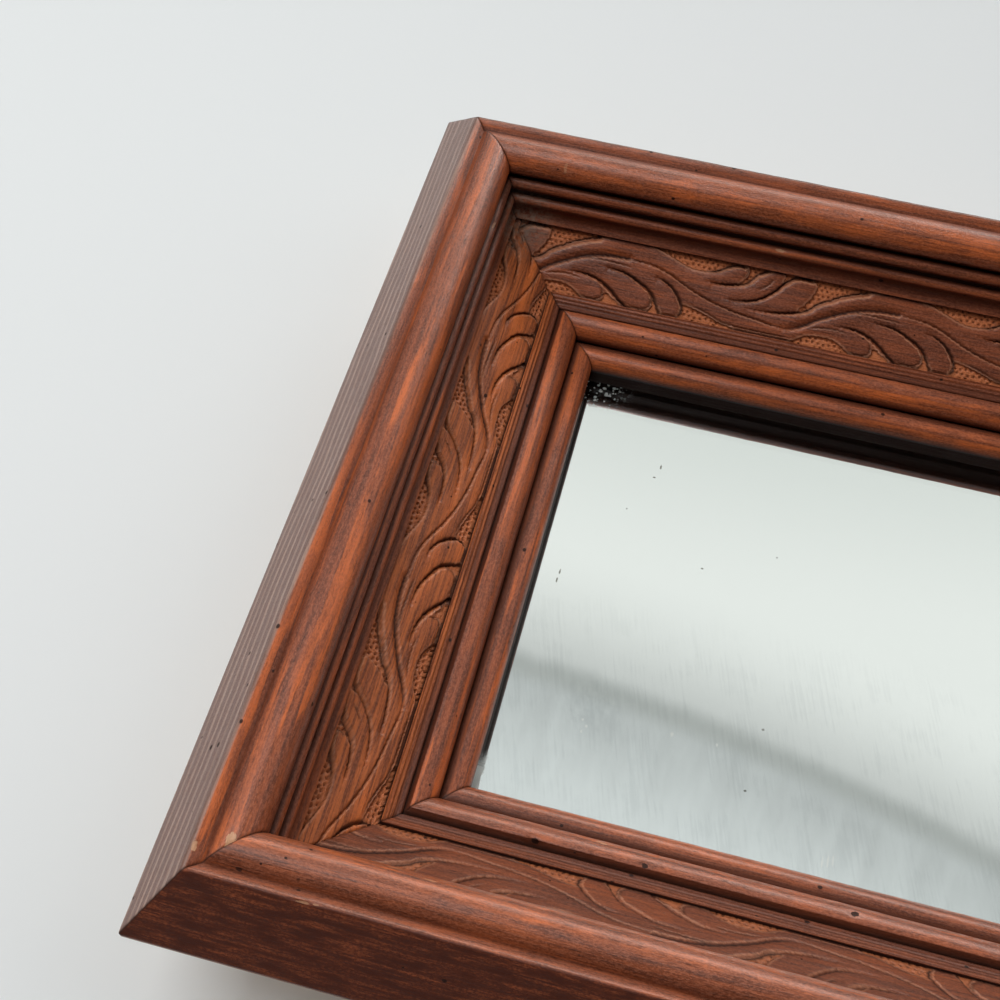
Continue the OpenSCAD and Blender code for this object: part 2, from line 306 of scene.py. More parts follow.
# The moulding's section
# One board is milled to this section, leaned towards the glass and cut plumb at its outer back edge.
# u runs across the board's face from its outer side, and v through its thickness, both in millimetres.
MM = 0.001
LEAN = math.radians(37.5)
EASED_EDGE = 1.2
SIDE_T = 31.2
ARRIS_R = 1.5
FACET_END = 5.3
ROUND_R = 8.3
ROUND_V = 31.0
ROUND_END = 20.5
GROOVE_W = 0.6
GROOVE_FLOOR = 26.0
UPPER_BEAD = (23.5, 30.3)
UPPER_BEAD_R = 2.4
LOWER_BEAD = (29.2, 26.2)
LOWER_BEAD_R = 2.1
COVE_R = 4.0
COVE = (35.3, 25.9)
UPPER_FILLET = (35.3, 21.9)
FRIEZE_START = 37.0
FRIEZE_END = 64.2
FRIEZE_V = 20.4
LOWER_FILLET_V = 21.2
FILLET_LINES, FILLET_LINE_DEPTH = 3, 0.25
REED = (70.15, 20.88)
REED_R = 0.95
INNER_ROUND_START = 71.1
INNER_ROUND_END = 82.3
INNER_ROUND = (75.9, 19.3)
INNER_ROUND_R = 7.2
SIGHT_BEAD = (88.4, 20.9)
SIGHT_BEAD_R = 5.5
LIP_SETBACK = 1.2
REBATE_W = 4.1
REBATE_D = 8.2
BEAD_TO_GLASS = 10.0
CURVE_STEP = 0.8
FLAT_STEP = 2.6
FRIEZE_STEP = 0.36
SOFT_CORNER = 0.22
SHARP_TURN = 28
BACK_STEP = 6.0


def lines(*corners, step=FLAT_STEP):
    """Points evenly spaced on the straight lines from corner to corner, without the last corner."""
    corners = np.array(corners, float)
    made = []
    for start, end in zip(corners[:-1], corners[1:]):
        share = np.arange(n := max(1, round(np.linalg.norm(end - start) / step))) / n
        made.append(start + share[:, None] * (end - start))
    return np.concatenate(made)


def arc(centre, radius, first, last, step=CURVE_STEP):
    """Points centre + radius (cos a, sin a), with a from first degrees to just before last degrees."""
    turn = np.radians(last - first)
    angles = np.radians(first) + turn * np.arange(n := max(2, round(abs(turn) * radius / step))) / n
    return np.array(centre) + radius * np.column_stack([np.cos(angles), np.sin(angles)])


def on_circle(centre, radius, u):
    """The angle in degrees of the upper point of the circle at that u."""
    return math.degrees(math.acos((u - centre[0]) / radius))


def leaned(points):
    """Section points (u, v) turned by the lean: distance in from the plumb edge, and distance forward."""
    u, v = np.asarray(points, float).T
    inward = u * math.cos(LEAN) + v * math.sin(LEAN) - EASED_EDGE
    return np.column_stack([inward, v * math.cos(LEAN) - u * math.sin(LEAN)])


def unleaned(points):
    """The inverse of leaned."""
    inward, forward = np.asarray(points, float).T
    inward = inward + EASED_EDGE
    return np.column_stack([inward * math.cos(LEAN) - forward * math.sin(LEAN),
                            inward * math.sin(LEAN) + forward * math.cos(LEAN)])


def lined_fillet():
    """The fillet below the frieze with fine lines along it: its level less half the depth times 1 - cos."""
    t = np.arange(16) / 16
    u = FRIEZE_END + t * (REED[0] - REED_R - FRIEZE_END)
    depth = FILLET_LINE_DEPTH / 2 * (1 - np.cos(2 * math.pi * FILLET_LINES * t))
    return np.column_stack([u, LOWER_FILLET_V - depth])


def face_outline():
    """The milled face in (u, v), from the outer side round to the plumb lip behind the sight bead."""
    (upper_u, upper_v), lower_u = UPPER_BEAD, LOWER_BEAD[0]
    round_last = on_circle((FACET_END + ROUND_R, ROUND_V), ROUND_R, ROUND_END)
    inner_first = on_circle(INNER_ROUND, INNER_ROUND_R, INNER_ROUND_START)
    inner_last = on_circle(INNER_ROUND, INNER_ROUND_R, INNER_ROUND_END)
    lip_angle = math.degrees(LEAN - math.acos(1 - LIP_SETBACK / SIGHT_BEAD_R))
    round_low = ROUND_V + ROUND_R * math.sin(math.radians(round_last))
    inner_low, inner_end = (INNER_ROUND[1] + INNER_ROUND_R * math.sin(math.radians(angle))
                            for angle in (inner_first, inner_last))
    before = [
        lines((0, EASED_EDGE / math.sin(LEAN)), (0, SIDE_T - ARRIS_R)),
        arc((ARRIS_R, SIDE_T - ARRIS_R), ARRIS_R, 180, 90),
        lines((ARRIS_R, SIDE_T), (FACET_END, SIDE_T), step=CURVE_STEP * 2),
        arc((FACET_END + ROUND_R, ROUND_V), ROUND_R, 180, round_last),
        lines((ROUND_END, round_low), (ROUND_END, GROOVE_FLOOR), (ROUND_END + GROOVE_W, GROOVE_FLOOR),
              (upper_u - UPPER_BEAD_R, upper_v)),
        arc(UPPER_BEAD, UPPER_BEAD_R, 180, 0),
        lines((upper_u + UPPER_BEAD_R, upper_v), (upper_u + UPPER_BEAD_R, GROOVE_FLOOR),
              (lower_u - LOWER_BEAD_R, GROOVE_FLOOR)),
        arc(LOWER_BEAD, LOWER_BEAD_R, 180, 0),
        arc(COVE, COVE_R, 188, 270),
        lines(UPPER_FILLET, (FRIEZE_START, UPPER_FILLET[1]), (FRIEZE_START, FRIEZE_V)),
    ]
    after = [
        lines((FRIEZE_END, FRIEZE_V), (FRIEZE_END, LOWER_FILLET_V)),
        lined_fillet(),
        arc(REED, REED_R, 160, 0, CURVE_STEP / 2),
        lines((INNER_ROUND_START, REED[1]), (INNER_ROUND_START, inner_low)),
        arc(INNER_ROUND, INNER_ROUND_R, inner_first, inner_last),
        lines((INNER_ROUND_END, inner_end), (INNER_ROUND_END, INNER_ROUND[1]),
              (SIGHT_BEAD[0] - SIGHT_BEAD_R, INNER_ROUND[1])),
        arc(SIGHT_BEAD, SIGHT_BEAD_R, 180, lip_angle),
    ]
    return np.concatenate(before), np.concatenate(after)


def softened(points, reach=SOFT_CORNER):
    """The closed outline with each sharp corner cut into three points, reach away along both its sides."""
    made = []
    for here, last, following in zip(points, np.roll(points, 1, 0), np.roll(points, -1, 0)):
        back, ahead = last - here, following - here
        back_l, ahead_l = np.linalg.norm(back), np.linalg.norm(ahead)
        turn = math.degrees(math.acos(np.clip(-back @ ahead / (back_l * ahead_l), -1, 1)))
        if turn < SHARP_TURN:
            made.append(here)
            continue
        near = here + back / back_l * min(reach, back_l * 0.4)
        far = here + ahead / ahead_l * min(reach, ahead_l * 0.4)
        made += [near, (near + far + 2 * here) / 4, far]
    return np.array(made)


def moulding_outline():
    """The whole closed section in (u, v), and the first and last column of its frieze."""
    before, after = face_outline()
    bead_in, bead_forward = leaned([SIGHT_BEAD])[0]
    lip_in = bead_in + SIGHT_BEAD_R - LIP_SETBACK
    lip_front = bead_forward - math.sqrt(2 * SIGHT_BEAD_R * LIP_SETBACK - LIP_SETBACK ** 2)
    glass_level = bead_forward - BEAD_TO_GLASS
    wall_in, land_level = lip_in - REBATE_W, glass_level - REBATE_D
    land_outer_in = -land_level / math.tan(LEAN) - EASED_EDGE
    plumb_back, plumb_front = (0, -EASED_EDGE * math.tan(LEAN)), (0, EASED_EDGE / math.tan(LEAN))
    back = np.concatenate([
        lines((lip_in, lip_front), (lip_in, glass_level), step=CURVE_STEP * 2),
        lines((lip_in, glass_level), (wall_in, glass_level), (wall_in, land_level),
              (land_outer_in, land_level)),
        lines((land_outer_in, land_level), plumb_back, step=BACK_STEP),
        lines(plumb_back, plumb_front),
    ])
    frieze_u = np.linspace(FRIEZE_START, FRIEZE_END, round((FRIEZE_END - FRIEZE_START) / FRIEZE_STEP) + 1)
    plain = softened(np.concatenate([before, [(FRIEZE_START, FRIEZE_V)], after, unleaned(back)]))
    left = np.argmin(np.hypot(*(plain - (FRIEZE_START, FRIEZE_V)).T))
    right = np.argmin(np.hypot(*(plain - (FRIEZE_END, FRIEZE_V)).T))
    frieze = np.column_stack([frieze_u, np.full(len(frieze_u), FRIEZE_V)])
    outline = np.concatenate([plain[:left], frieze, plain[right + 1:]])
    return outline, left, left + len(frieze) - 1, glass_level


outline, frieze_first, frieze_last, glass_level = moulding_outline()


# The running leaf
# A roller pressed it into the frieze before the board was cut up, so it runs clockwise round the frame
# and the mitres cut it anywhere. p runs along the board from the leaf's crest, and w across the frieze
# from its outer edge, in millimetres. The grounds are sunk and punched with round dots.
LEAF_PITCH = 114.0
FRIEZE_W = FRIEZE_END - FRIEZE_START
GROUND_DEPTH = 1.35
WALL_WIDTH = 0.5
DOT_PITCH = 2.25
DOT_R = 0.78
DOT_DEPTH = 0.65
LUMP_HEIGHT = 0.22
MAP_STEP = 0.15
# The waves that make its edges ragged: how many in one pitch, and their reach
RAGGED = ((41, 0.10), (59, 0.07), (83, 0.05))
GROUNDS = [
    dict(dots=1, edge=[(80.8, -1), (81.2, 2.5), (80.6, 5.5), (79.2, 8.5), (77.4, 11.2), (75.4, 13.6),
                       (76.5, 14.4), (79.6, 12.7), (82, 10.2), (85, 8.2), (88, 6.7), (90.4, 5.1), (94, 3.5),
                       (97.5, 2.1), (101.3, 1), (106.5, -1)]),
    dict(dots=1, edge=[(11, -1), (15, 1), (19, 2.4), (24, 4.3), (28.5, 5.6), (33, 5.8), (37, 5.1),
                       (39.8, 4.3), (42, 2.9), (44.6, 1.4), (47.6, 0.2), (48.6, -1)]),
    dict(dots=1, edge=[(52.3, -1), (60.6, -1), (58.3, 1.4), (56.4, 2.8), (55, 4.7), (53.4, 6.7), (51.4, 8),
                       (48.6, 8.7), (50.6, 6.4), (52, 4.6), (52.6, 2.6)]),
    dict(dots=0, edge=[(66.8, -1), (67.6, 1.2), (67.2, 3.6), (69.5, 2.2), (71.6, 0.6), (73.2, -1)]),
    dict(dots=1, edge=[(28.2, 21.4), (32, 21.7), (36.5, 22.8), (41, 24.2), (45, 25.5), (49.5, 26.2),
                       (49, 28), (28, 28), (28.6, 24.5)]),
    dict(dots=1, edge=[(75.5, 28), (77.5, 25.4), (80, 23.8), (83, 22.9), (87, 22.5), (91, 22.6), (94, 23.5),
                       (96.4, 24.9), (98.6, 26.4), (100, 28)]),
    dict(dots=0, edge=[(108.6, 23.5), (110.2, 23), (112.6, 24.6), (115.4, 25.9), (115.5, 28), (106.5, 28),
                       (108.4, 26)]),
    dict(dots=0, edge=[(15.6, 21.8), (17.2, 23.6), (18.8, 25.6), (19.6, 28), (13.6, 28), (15.2, 25.6)]),
]
# The cuts slope gently on one side, which is worn pale, and steeply on the other. The slopes are widths
# where the cut starts and ends, and steep is the other side's width.
CUTS = [
    dict(path=[(32, 5.8), (37, 5.2), (39.8, 4.4), (42, 3), (44.6, 1.5), (47.6, 0.4), (50, 0.3)], depth=1.35,
               slope=(0.3, 1.7), steep=0.35),
    dict(path=[(35.5, 9.6), (40, 9.7), (44, 9.4), (48, 8.6), (51.5, 7.6), (53.4, 6.2), (54.8, 4.4),
               (56.2, 2.7), (58.2, 1.3), (60.5, -0.2)], depth=1.7, slope=(0.5, 1.7), steep=0.6),
    dict(path=[(44, 15.2), (50, 14.9), (55, 14), (59, 12.4), (62.5, 9.8), (65.3, 7), (67.4, 4.2),
               (69.6, 2.3), (71.8, 0.7), (74.5, 0.2), (79, 0.2)], depth=1.5, slope=(0.6, 2.1), steep=0.4),
    dict(path=[(54, 17.3), (60, 17.1), (65, 16.7), (70, 16), (74, 15), (77.5, 13.9), (80.2, 12.3),
               (82, 10.2), (85, 8.2), (88, 6.7), (90.4, 5.1), (94, 3.5), (97.5, 2.1), (101.3, 1)],
               depth=1.45, slope=(0.7, 2.3), steep=0.4),
    dict(path=[(68, 22.4), (72, 22.3), (76, 21.2), (79.5, 19.3), (84.5, 15.9), (90, 13), (95, 10.6),
               (100, 8.8), (105, 7.8), (110, 7.2), (116, 7.1)], depth=0.95, slope=(0.8, 1.3), steep=2.6),
    dict(path=[(91, 17.2), (96, 16.7), (100, 16.9), (103, 17.5), (106.3, 18.6), (109.3, 20.2), (112, 22),
               (114.2, 23.9), (116.4, 25.6), (118.6, 27)], depth=1.35, slope=(0.5, 2.6), steep=0.4),
    dict(path=[(-9, 12.3), (-4, 12.5), (1, 13), (5, 14.2), (8.3, 15.8), (11.5, 17.3), (14.2, 19.2),
               (16, 21.6), (17.6, 24.4), (19, 27)], depth=1.35, slope=(0.5, 2.3), steep=0.4),
    dict(path=[(13, 12.4), (17, 12.7), (20, 13.8), (22.4, 15.3), (24.4, 17), (26, 19), (27.4, 21),
               (28.3, 23.4), (27.8, 26)], depth=1.0, slope=(0.5, 1.5), steep=0.4),
]
# The ribs and outlines are fine V cuts, paler where the stain has worn.
RIBS = [
    dict(path=[(-6, 7.3), (0, 7), (10, 7.6), (15, 8.4), (20, 9.9), (25, 12.1), (30, 14.4), (35, 16.2),
               (40, 17.8), (45, 18.9), (50, 19.9), (60, 21.1), (66, 22), (72, 22.3)], depth=0.65,
               slope=(0.75, 0.75)),
    dict(path=[(28, 20.9), (33, 21.3), (38, 22.5), (42, 23.9), (46, 25.2), (52, 25.7), (60, 25.8),
               (68, 25.8), (76, 25.6)], depth=0.5, slope=(0.5, 0.5)),
    dict(path=[(96.6, 25), (99.5, 26.3), (103, 26.6), (106.3, 26.2), (107.8, 24.6), (107.6, 22.3),
               (106, 20.4)], depth=0.4, slope=(0.45, 0.45)),
    dict(path=[(4, 25.6), (8, 26.5), (12, 26.4), (14.3, 24.9), (14.9, 22.6), (14, 20.6)], depth=0.4,
               slope=(0.45, 0.45)),
    dict(path=[(50, 0.3), (51.6, 1.4), (51.9, 3), (51, 5)], depth=0.4, slope=(0.5, 0.5)),
    dict(path=[(82, 19.8), (87, 18.8), (92, 18.4), (97, 19)], depth=0.25, slope=(0.5, 0.5)),
    dict(path=[(-20, 10.6), (-12, 9.8), (-4, 9.9), (4, 10.4)], depth=0.25, slope=(0.5, 0.5)),
    dict(path=[(58, 8.6), (61, 6.2), (63, 3.4)], depth=0.25, slope=(0.5, 0.5)),
]


def smooth_path(points, closed=False, each=5):
    """A Catmull-Rom curve through the points, with that many straight pieces from each to the next."""
    points = np.array(points, float)
    before, after = points[-1:], points[:2]
    if not closed:
        before, after = 2 * points[:1] - points[1:2], 2 * points[-1:] - points[-2:-1]
    chain, count = np.concatenate([before, points, after]), len(points) - (not closed)
    a, b, c, d = (chain[i:i + count] for i in range(4))
    t = (np.arange(each) / each)[:, None, None]
    bend, twist = 2 * a - 5 * b + 4 * c - d, 3 * b - a - 3 * c + d
    curve = 0.5 * (2 * b + (c - a) * t + bend * t ** 2 + twist * t ** 3)
    return np.concatenate([curve.transpose(1, 0, 2).reshape(-1, 2), points[:1] if closed else points[-1:]])


def nearest(path, p, w):
    """For each place: its distance from the path, the share of the path passed there, and its side."""
    distance, share, side = np.full(p.shape, 1e9), np.zeros(p.shape), np.ones(p.shape)
    pieces = len(path) - 1
    for i, (a, b) in enumerate(zip(path[:-1], path[1:])):
        along = b - a
        t = np.clip(((p - a[0]) * along[0] + (w - a[1]) * along[1]) / (along @ along), 0, 1)
        off = np.hypot(p - a[0] - t * along[0], w - a[1] - t * along[1])
        closer = off < distance
        distance = np.where(closer, off, distance)
        share = np.where(closer, (i + t) / pieces, share)
        side = np.where(closer, np.sign(along[0] * (w - a[1]) - along[1] * (p - a[0])), side)
    return distance, share, side


def inside(path, p, w):
    """True where a ray towards larger p crosses the closed path an odd number of times."""
    odd = np.zeros(p.shape, bool)
    for a, b in zip(path[:-1], path[1:]):
        if a[1] != b[1]:
            crossing = a[0] + (w - a[1]) * (b[0] - a[0]) / (b[1] - a[1])
            odd ^= ((a[1] > w) != (b[1] > w)) & (p < crossing)
    return odd


def climb(value, low, high):
    """The smooth step 3 t^2 - 2 t^3, with t running from 0 at low to 1 at high."""
    t = np.clip((value - low) / (high - low), 0, 1)
    return t * t * (3 - 2 * t)


def punched_dots(p, w):
    """1 in the middle of each dot of a staggered, slightly uneven grid, falling to 0 at its rim."""
    across = DOT_PITCH * 0.87
    row, deepest = np.round(w / across), np.zeros(p.shape)
    for row_step in (-1, 0, 1):
        near_row = row + row_step
        column = np.round(p / DOT_PITCH - near_row % 2 / 2)
        drift = 0.3 * np.sin(column * 12.9 + near_row * 7.3), 0.3 * np.cos(column * 4.7 + near_row * 9.1)
        centre_p = (column + near_row % 2 / 2) * DOT_PITCH + drift[0]
        away = np.hypot(p - centre_p, w - near_row * across - drift[1])
        deepest = np.maximum(deepest, 1 - climb(away, DOT_R * 0.35, DOT_R))
    return deepest


def leaf_maps():
    """Height, ground, pale and painted crevice shade over one pitch of the leaf, as four layers on a grid of
    p and w.
    """
    along, across = np.arange(0, LEAF_PITCH, MAP_STEP), np.arange(0, FRIEZE_W + MAP_STEP, MAP_STEP)
    p, w = np.meshgrid(along, across, indexing="ij")
    height, ground, pale, crevice_shade = (np.zeros(p.shape) for _ in range(4))
    edge = np.full(p.shape, 1e9)
    dots = punched_dots(p, w)
    turn = 2 * math.pi * p / LEAF_PITCH
    lumps = np.sin(71 * turn + 2 * np.sin(w * 2.7)) * np.cos(w * 4.6 + 2 * np.sin(33 * turn))
    ragged_p, ragged_w = p, w
    for times, reach in RAGGED:
        phase = 2 * math.pi * times * p / LEAF_PITCH
        ragged_p = ragged_p + reach * np.sin(w * times / 18 + 2 * np.sin(phase / times * 7))
        ragged_w = ragged_w + reach * np.sin(phase + 2 * np.sin(w * 0.7 + times))
    for shift in (-LEAF_PITCH, 0, LEAF_PITCH):
        for region in GROUNDS:
            path = smooth_path(region["edge"], closed=True, each=4) + (shift, 0)
            away = nearest(path, ragged_p, ragged_w)[0]
            depth_in = np.where(inside(path, ragged_p, ragged_w), away, -away)
            sunk = climb(depth_in, -0.1, WALL_WIDTH)
            floor = GROUND_DEPTH + region["dots"] * DOT_DEPTH * dots * climb(depth_in, 0.3, 0.9)
            floor = floor - LUMP_HEIGHT * lumps
            height = np.minimum(height, -floor * sunk)
            ground = np.maximum(ground, sunk)
            # Painted shade: darker at the foot of each ground's wall, in the punched dots and in the low
            # lumps.
            crevice_shade = np.maximum(crevice_shade, np.where(depth_in > 0, np.exp(-depth_in / 0.35), 0))
            crevice_shade = np.maximum(crevice_shade, region["dots"] * dots * climb(depth_in, 0.3, 0.9) * (0.7 - 0.2 * lumps))
            crevice_shade = np.maximum(crevice_shade, 0.5 * climb(-lumps, 0.3, 1.0) * sunk)
            pale = np.maximum(pale, 0.5 * np.exp(-((depth_in + 0.4) / 0.4) ** 2))
            edge = np.minimum(edge, np.where(depth_in < 0, away, 0))
        for cut in CUTS + RIBS:
            away, share, side = nearest(smooth_path(cut["path"]) + (shift, 0), ragged_p, ragged_w)
            is_rib = "steep" not in cut
            first, last = cut["slope"]
            gentle = first + (last - first) * share
            width = np.where(side > 0, gentle, cut.get("steep", gentle))
            taper = climb(share, -0.02, 0.25) * (climb(1.02 - share, 0, 0.15) if is_rib else 1)
            sunk = np.clip(1 - away / width, 0, 1)
            height = np.minimum(height, -cut["depth"] * taper * sunk)
            crest = climb(sunk, 0.0, 0.12) * (1 - climb(sunk, *((0.35, 0.8) if is_rib else (0.22, 0.5))))
            pale = np.maximum(pale, taper * crest * (side > 0) * (0.6 if is_rib else 0.8))
            # Painted shade: a dark line along each cut, wider on its steep side.
            dark = taper * np.exp(-(np.where(side > 0, away / 0.4, away / 0.8)) ** 2)
            crevice_shade = np.maximum(crevice_shade, dark * (0.6 if is_rib else 1))
            edge = np.minimum(edge, np.where(away < 0.05, 0, away + 2 * (is_rib or share < 0.05)))
    crown = -0.45 * np.exp(-edge / 1.3) * (ground < 0.5)
    rim = climb(w, FRIEZE_W - 1.1, FRIEZE_W - 0.4) * (1 - ground)
    height = np.minimum(height + crown, -0.7 * rim)
    # Painted shade along both long edges of the frieze.
    crevice_shade = np.maximum(crevice_shade, np.maximum(0.5 * rim, 0.8 * np.exp(-w / 0.45)))
    return np.stack([height, ground, pale * (1 - ground), crevice_shade])


def read_maps(maps, p, w):
    """The four layers at each p and w, by linear steps between the grid's points, wrapping along p."""
    column, row = (p % LEAF_PITCH) / MAP_STEP, np.clip(w, 0, FRIEZE_W) / MAP_STEP
    i, j = np.floor(column).astype(int), np.floor(row).astype(int)
    a, b = column - i, row - j
    many, most = maps.shape[1], maps.shape[2] - 1
    i, i_next, j, j_next = i % many, (i + 1) % many, np.minimum(j, most), np.minimum(j + 1, most)
    low = maps[:, i, j] * (1 - a) + maps[:, i_next, j] * a
    return low * (1 - b) + (maps[:, i, j_next] * (1 - a) + maps[:, i_next, j_next] * a) * b


leaf = leaf_maps()


# The four rails
# Each is a length of the moulding, mitred at both ends and nailed and glued to its neighbours.
# The running direction is clockwise, seen from the front: s is measured that way from the rail's middle.
ROW_STEP = 2.4
FINE_ROWS = 4
END_ROWS = (0.0, 0.15, 0.4, 0.9)
JOINT_SINK = 0.2
JOINT_REACH = 0.3
SHELTER_REACH = 11.0
CREASE_END, CREASE_SHARE = 7.5, 0.7
# How far back from the sight bead's front the lip is painted in shade, in millimetres
SHADE_UNDER_BEAD = (0.0, 2.2)
BACK_V = 12.0
SWELL = 0.12
FULL_TURN = 6.283
JOINT_DARK = (0.4, 0.85)
RAIL_SMOOTH = 50
# A rail's side sets its outer side face: dark with painted shade at 0, pale and lined with painted sheen at
# 1.
RAILS = {
    "left": dict(turn=90, crest=-37.4, seed=3.0, heart=0.014, warmth=1.0, side=0.85,
                 press=1.3, fresh=0.75, frieze=(0.8, 0.0)),
    "top": dict(turn=0, crest=-119.0, seed=11.0, heart=0.055, warmth=0.35, side=0.5,
                press=1.0, fresh=0.95, frieze=(0.2, 0.15)),
    "right": dict(turn=-90, crest=12.0, seed=23.0, heart=0.020, warmth=0.85, side=0.6,
                  press=1.0, fresh=0.8, frieze=(0.6, 0.0)),
    "bottom": dict(turn=180, crest=49.6, seed=37.0, heart=0.060, warmth=0.35, side=0.0,
                   press=0.65, fresh=0.6, frieze=(1.0, 0.4)),
}
# The knocks and chips on each rail: their place along, across and through the board, half length, half
# width and depth, and how bare the wood is in them, or how dark where the number is below 0
KNOCKS = {
    "left": [(-158.6, 1.0, 30.8, 2.2, 1.1, 0.4, 0.7), (-154.2, 8.6, 37.6, 3.4, 1.9, 0.5, 0.8),
             (120.0, 23.4, 32.7, 2.0, 0.8, 0.5, 0.5)],
    "top": [(-149.6, 15.0, 39.2, 0.9, 3.0, 0.35, 0.3), (-56.8, 28.8, 28.2, 2.6, 0.8, 0.6, 0.45),
            (150.0, 0.6, 31.0, 4.0, 1.3, 0.5, 0.8)],
    "right": [(96.0, 1.0, 30.8, 3.5, 1.4, 0.5, 0.8), (-60.0, 92.0, 25.0, 2.6, 1.0, 0.5, 0.6)],
    "bottom": [(154.6, 0.3, 30.6, 2.6, 0.6, 0.5, 0.4), (150.4, 0.5, 31.0, 1.2, 0.5, 0.4, 0.4),
               (95.5, 71.4, 24.0, 1.8, 1.3, 0.5, -1.0), (58.1, 71.9, 25.2, 1.4, 1.1, 0.4, -1.0),
               (-11.6, 74.0, 26.2, 1.6, 1.3, 0.5, -1.0), (3.1, 69.7, 21.6, 1.2, 1.0, 0.4, -1.0),
               (57.4, 36.7, 22.5, 1.2, 1.0, 0.4, -1.0), (176.3, 5.1, 32.0, 1.4, 0.9, 0.3, -0.9),
               (131.9, 16.5, 38.8, 3.4, 0.5, 0.15, 0.5), (120.5, 14.4, 39.2, 2.6, 0.45, 0.1, 0.4),
               (73.3, 76.8, 26.5, 2.6, 0.7, 0.15, 0.5)],
}


def outline_normals(points):
    """Unit normals of the closed outline, to its outer side: the chord between neighbours, turned."""
    chord = np.roll(points, -1, 0) - np.roll(points, 1, 0)
    normal = np.column_stack([-chord[:, 1], chord[:, 0]])
    return normal / np.linalg.norm(normal, axis=1)[:, None]


def shelter(points):
    """How much of the sky over the board each face point misses: 0 on a crest and near 1 in a slit. The
    rails' colour is darkened by it as painted shade.

    On each side, the outline within SHELTER_REACH rises to an angle above the point. The two angles'
    sum over 180 degrees is the share of sky they hide. The side faces and the back have none.
    """
    face = (points[:, 1] > BACK_V) & (points[:, 0] > 0.05)
    along, up = (points[None, :, k] - points[:, None, k] for k in (0, 1))
    angle = np.arctan2(up, np.abs(along)) * (np.abs(along) < SHELTER_REACH) * face[None, :]
    left = np.where(along <= 0, angle, 0).max(1).clip(0)
    right = np.where(along > 0, angle, 0).max(1).clip(0)
    hidden = np.where(face, (left + right) / math.pi, 0)
    return hidden * np.where(points[:, 0] < CREASE_END, CREASE_SHARE, 1)


def waves(s, u, seed):
    """A slow uneven swell of -1 to 1 along and across a board: five sine waves of unlike pitch."""
    pitches = ((61, 40), (37, 23), (23, 31), (13, 9), (7.1, 12))
    s, u = s * FULL_TURN, u * FULL_TURN
    swells = (np.sin(s / a + seed * (k + 1.7)) * np.cos(u / b + seed * 2.3 * (k + 1))
              for k, (a, b) in enumerate(pitches))
    return sum(swells) / len(pitches)


def rail_rows(half_length):
    """Shares of the way along the rail, 0 to 1: closer at both ends, and finer rows between them."""
    ends = np.array(END_ROWS)
    body = np.linspace(-half_length + 2.0, half_length - 2.0, round(2 * half_length / ROW_STEP))
    coarse = np.concatenate([ends - half_length, body, (half_length - ends)[::-1]]) / half_length / 2 + 0.5
    steps = np.linspace(coarse[:-1], coarse[1:], FINE_ROWS, endpoint=False, axis=1).ravel()
    return coarse, np.append(steps, 1.0)


def shaped(name, rows, columns, half_length):
    """The rail's points and its masks of wear and painted shade at those rows and columns: outline, leaf,
    knocks and mitre gaps.

    A point starts at s = (2 row - 1) (half length - its distance in), which makes the mitres. It is
    pushed along the section's normal by the leaf's height, the swell, the knocks and the mitre gap.
    """
    rail = RAILS[name]
    share, u = np.meshgrid(rows, outline[columns, 0], indexing="ij")
    v = np.broadcast_to(outline[columns, 1], u.shape)
    inward = np.broadcast_to(flat_outline[columns, 0], u.shape)
    s = (2 * share - 1) * (half_length - inward)
    in_frieze = (columns >= frieze_first) & (columns <= frieze_last)
    height, ground, pale, crevice_shade = read_maps(leaf, s - rail["crest"], u - FRIEZE_START) * in_frieze
    push = height * rail["press"] + SWELL * waves(s, u, rail["seed"]) * (v > BACK_V)
    ragged = 1 + 0.3 * np.sin(s * 2.1 + u * 3.3)
    for at_s, at_u, at_v, half_s, half_across, depth, _ in KNOCKS[name]:
        across = np.hypot(u - at_u, v - at_v) / half_across
        push = push - depth * (1 - climb(np.hypot((s - at_s) / half_s, across) * ragged, 0.5, 1.0))
    gap = (half_length - inward - np.abs(s)) * math.sqrt(0.5)
    joint = np.exp(-(gap / JOINT_REACH) ** 2)
    push = push - JOINT_SINK * joint
    place = flat_outline[columns] + push[..., None] * normals[columns]
    along = (2 * share - 1) * (half_length - place[..., 0])
    hidden = np.broadcast_to(hidden_sky[columns], u.shape)
    # Open to the sky: the stain is worn thin there, and painted light makes it paler.
    crest = (1 - climb(hidden, 0.05, 0.30)) * (hidden > 0) * ~in_frieze
    masks = dict(
        board=np.stack([s, u, v], -1) * MM,
        carving=np.stack([ground * rail["fresh"], pale * rail["fresh"], crevice_shade], -1),
        shade_and_wear=np.stack([hidden, crest, joint * np.where(in_frieze, *JOINT_DARK)], -1),
        raw=np.broadcast_to(raw_columns[columns], u.shape),
    )
    return np.stack([along, place[..., 0], place[..., 1]], -1), masks


def smooth_faces(mesh, angle):
    """Shades the mesh smooth, apart from its edges that turn by more than that angle in degrees."""
    mesh.polygons.foreach_set("use_smooth", np.ones(len(mesh.polygons), bool))
    mesh.set_sharp_from_angle(angle=math.radians(angle))


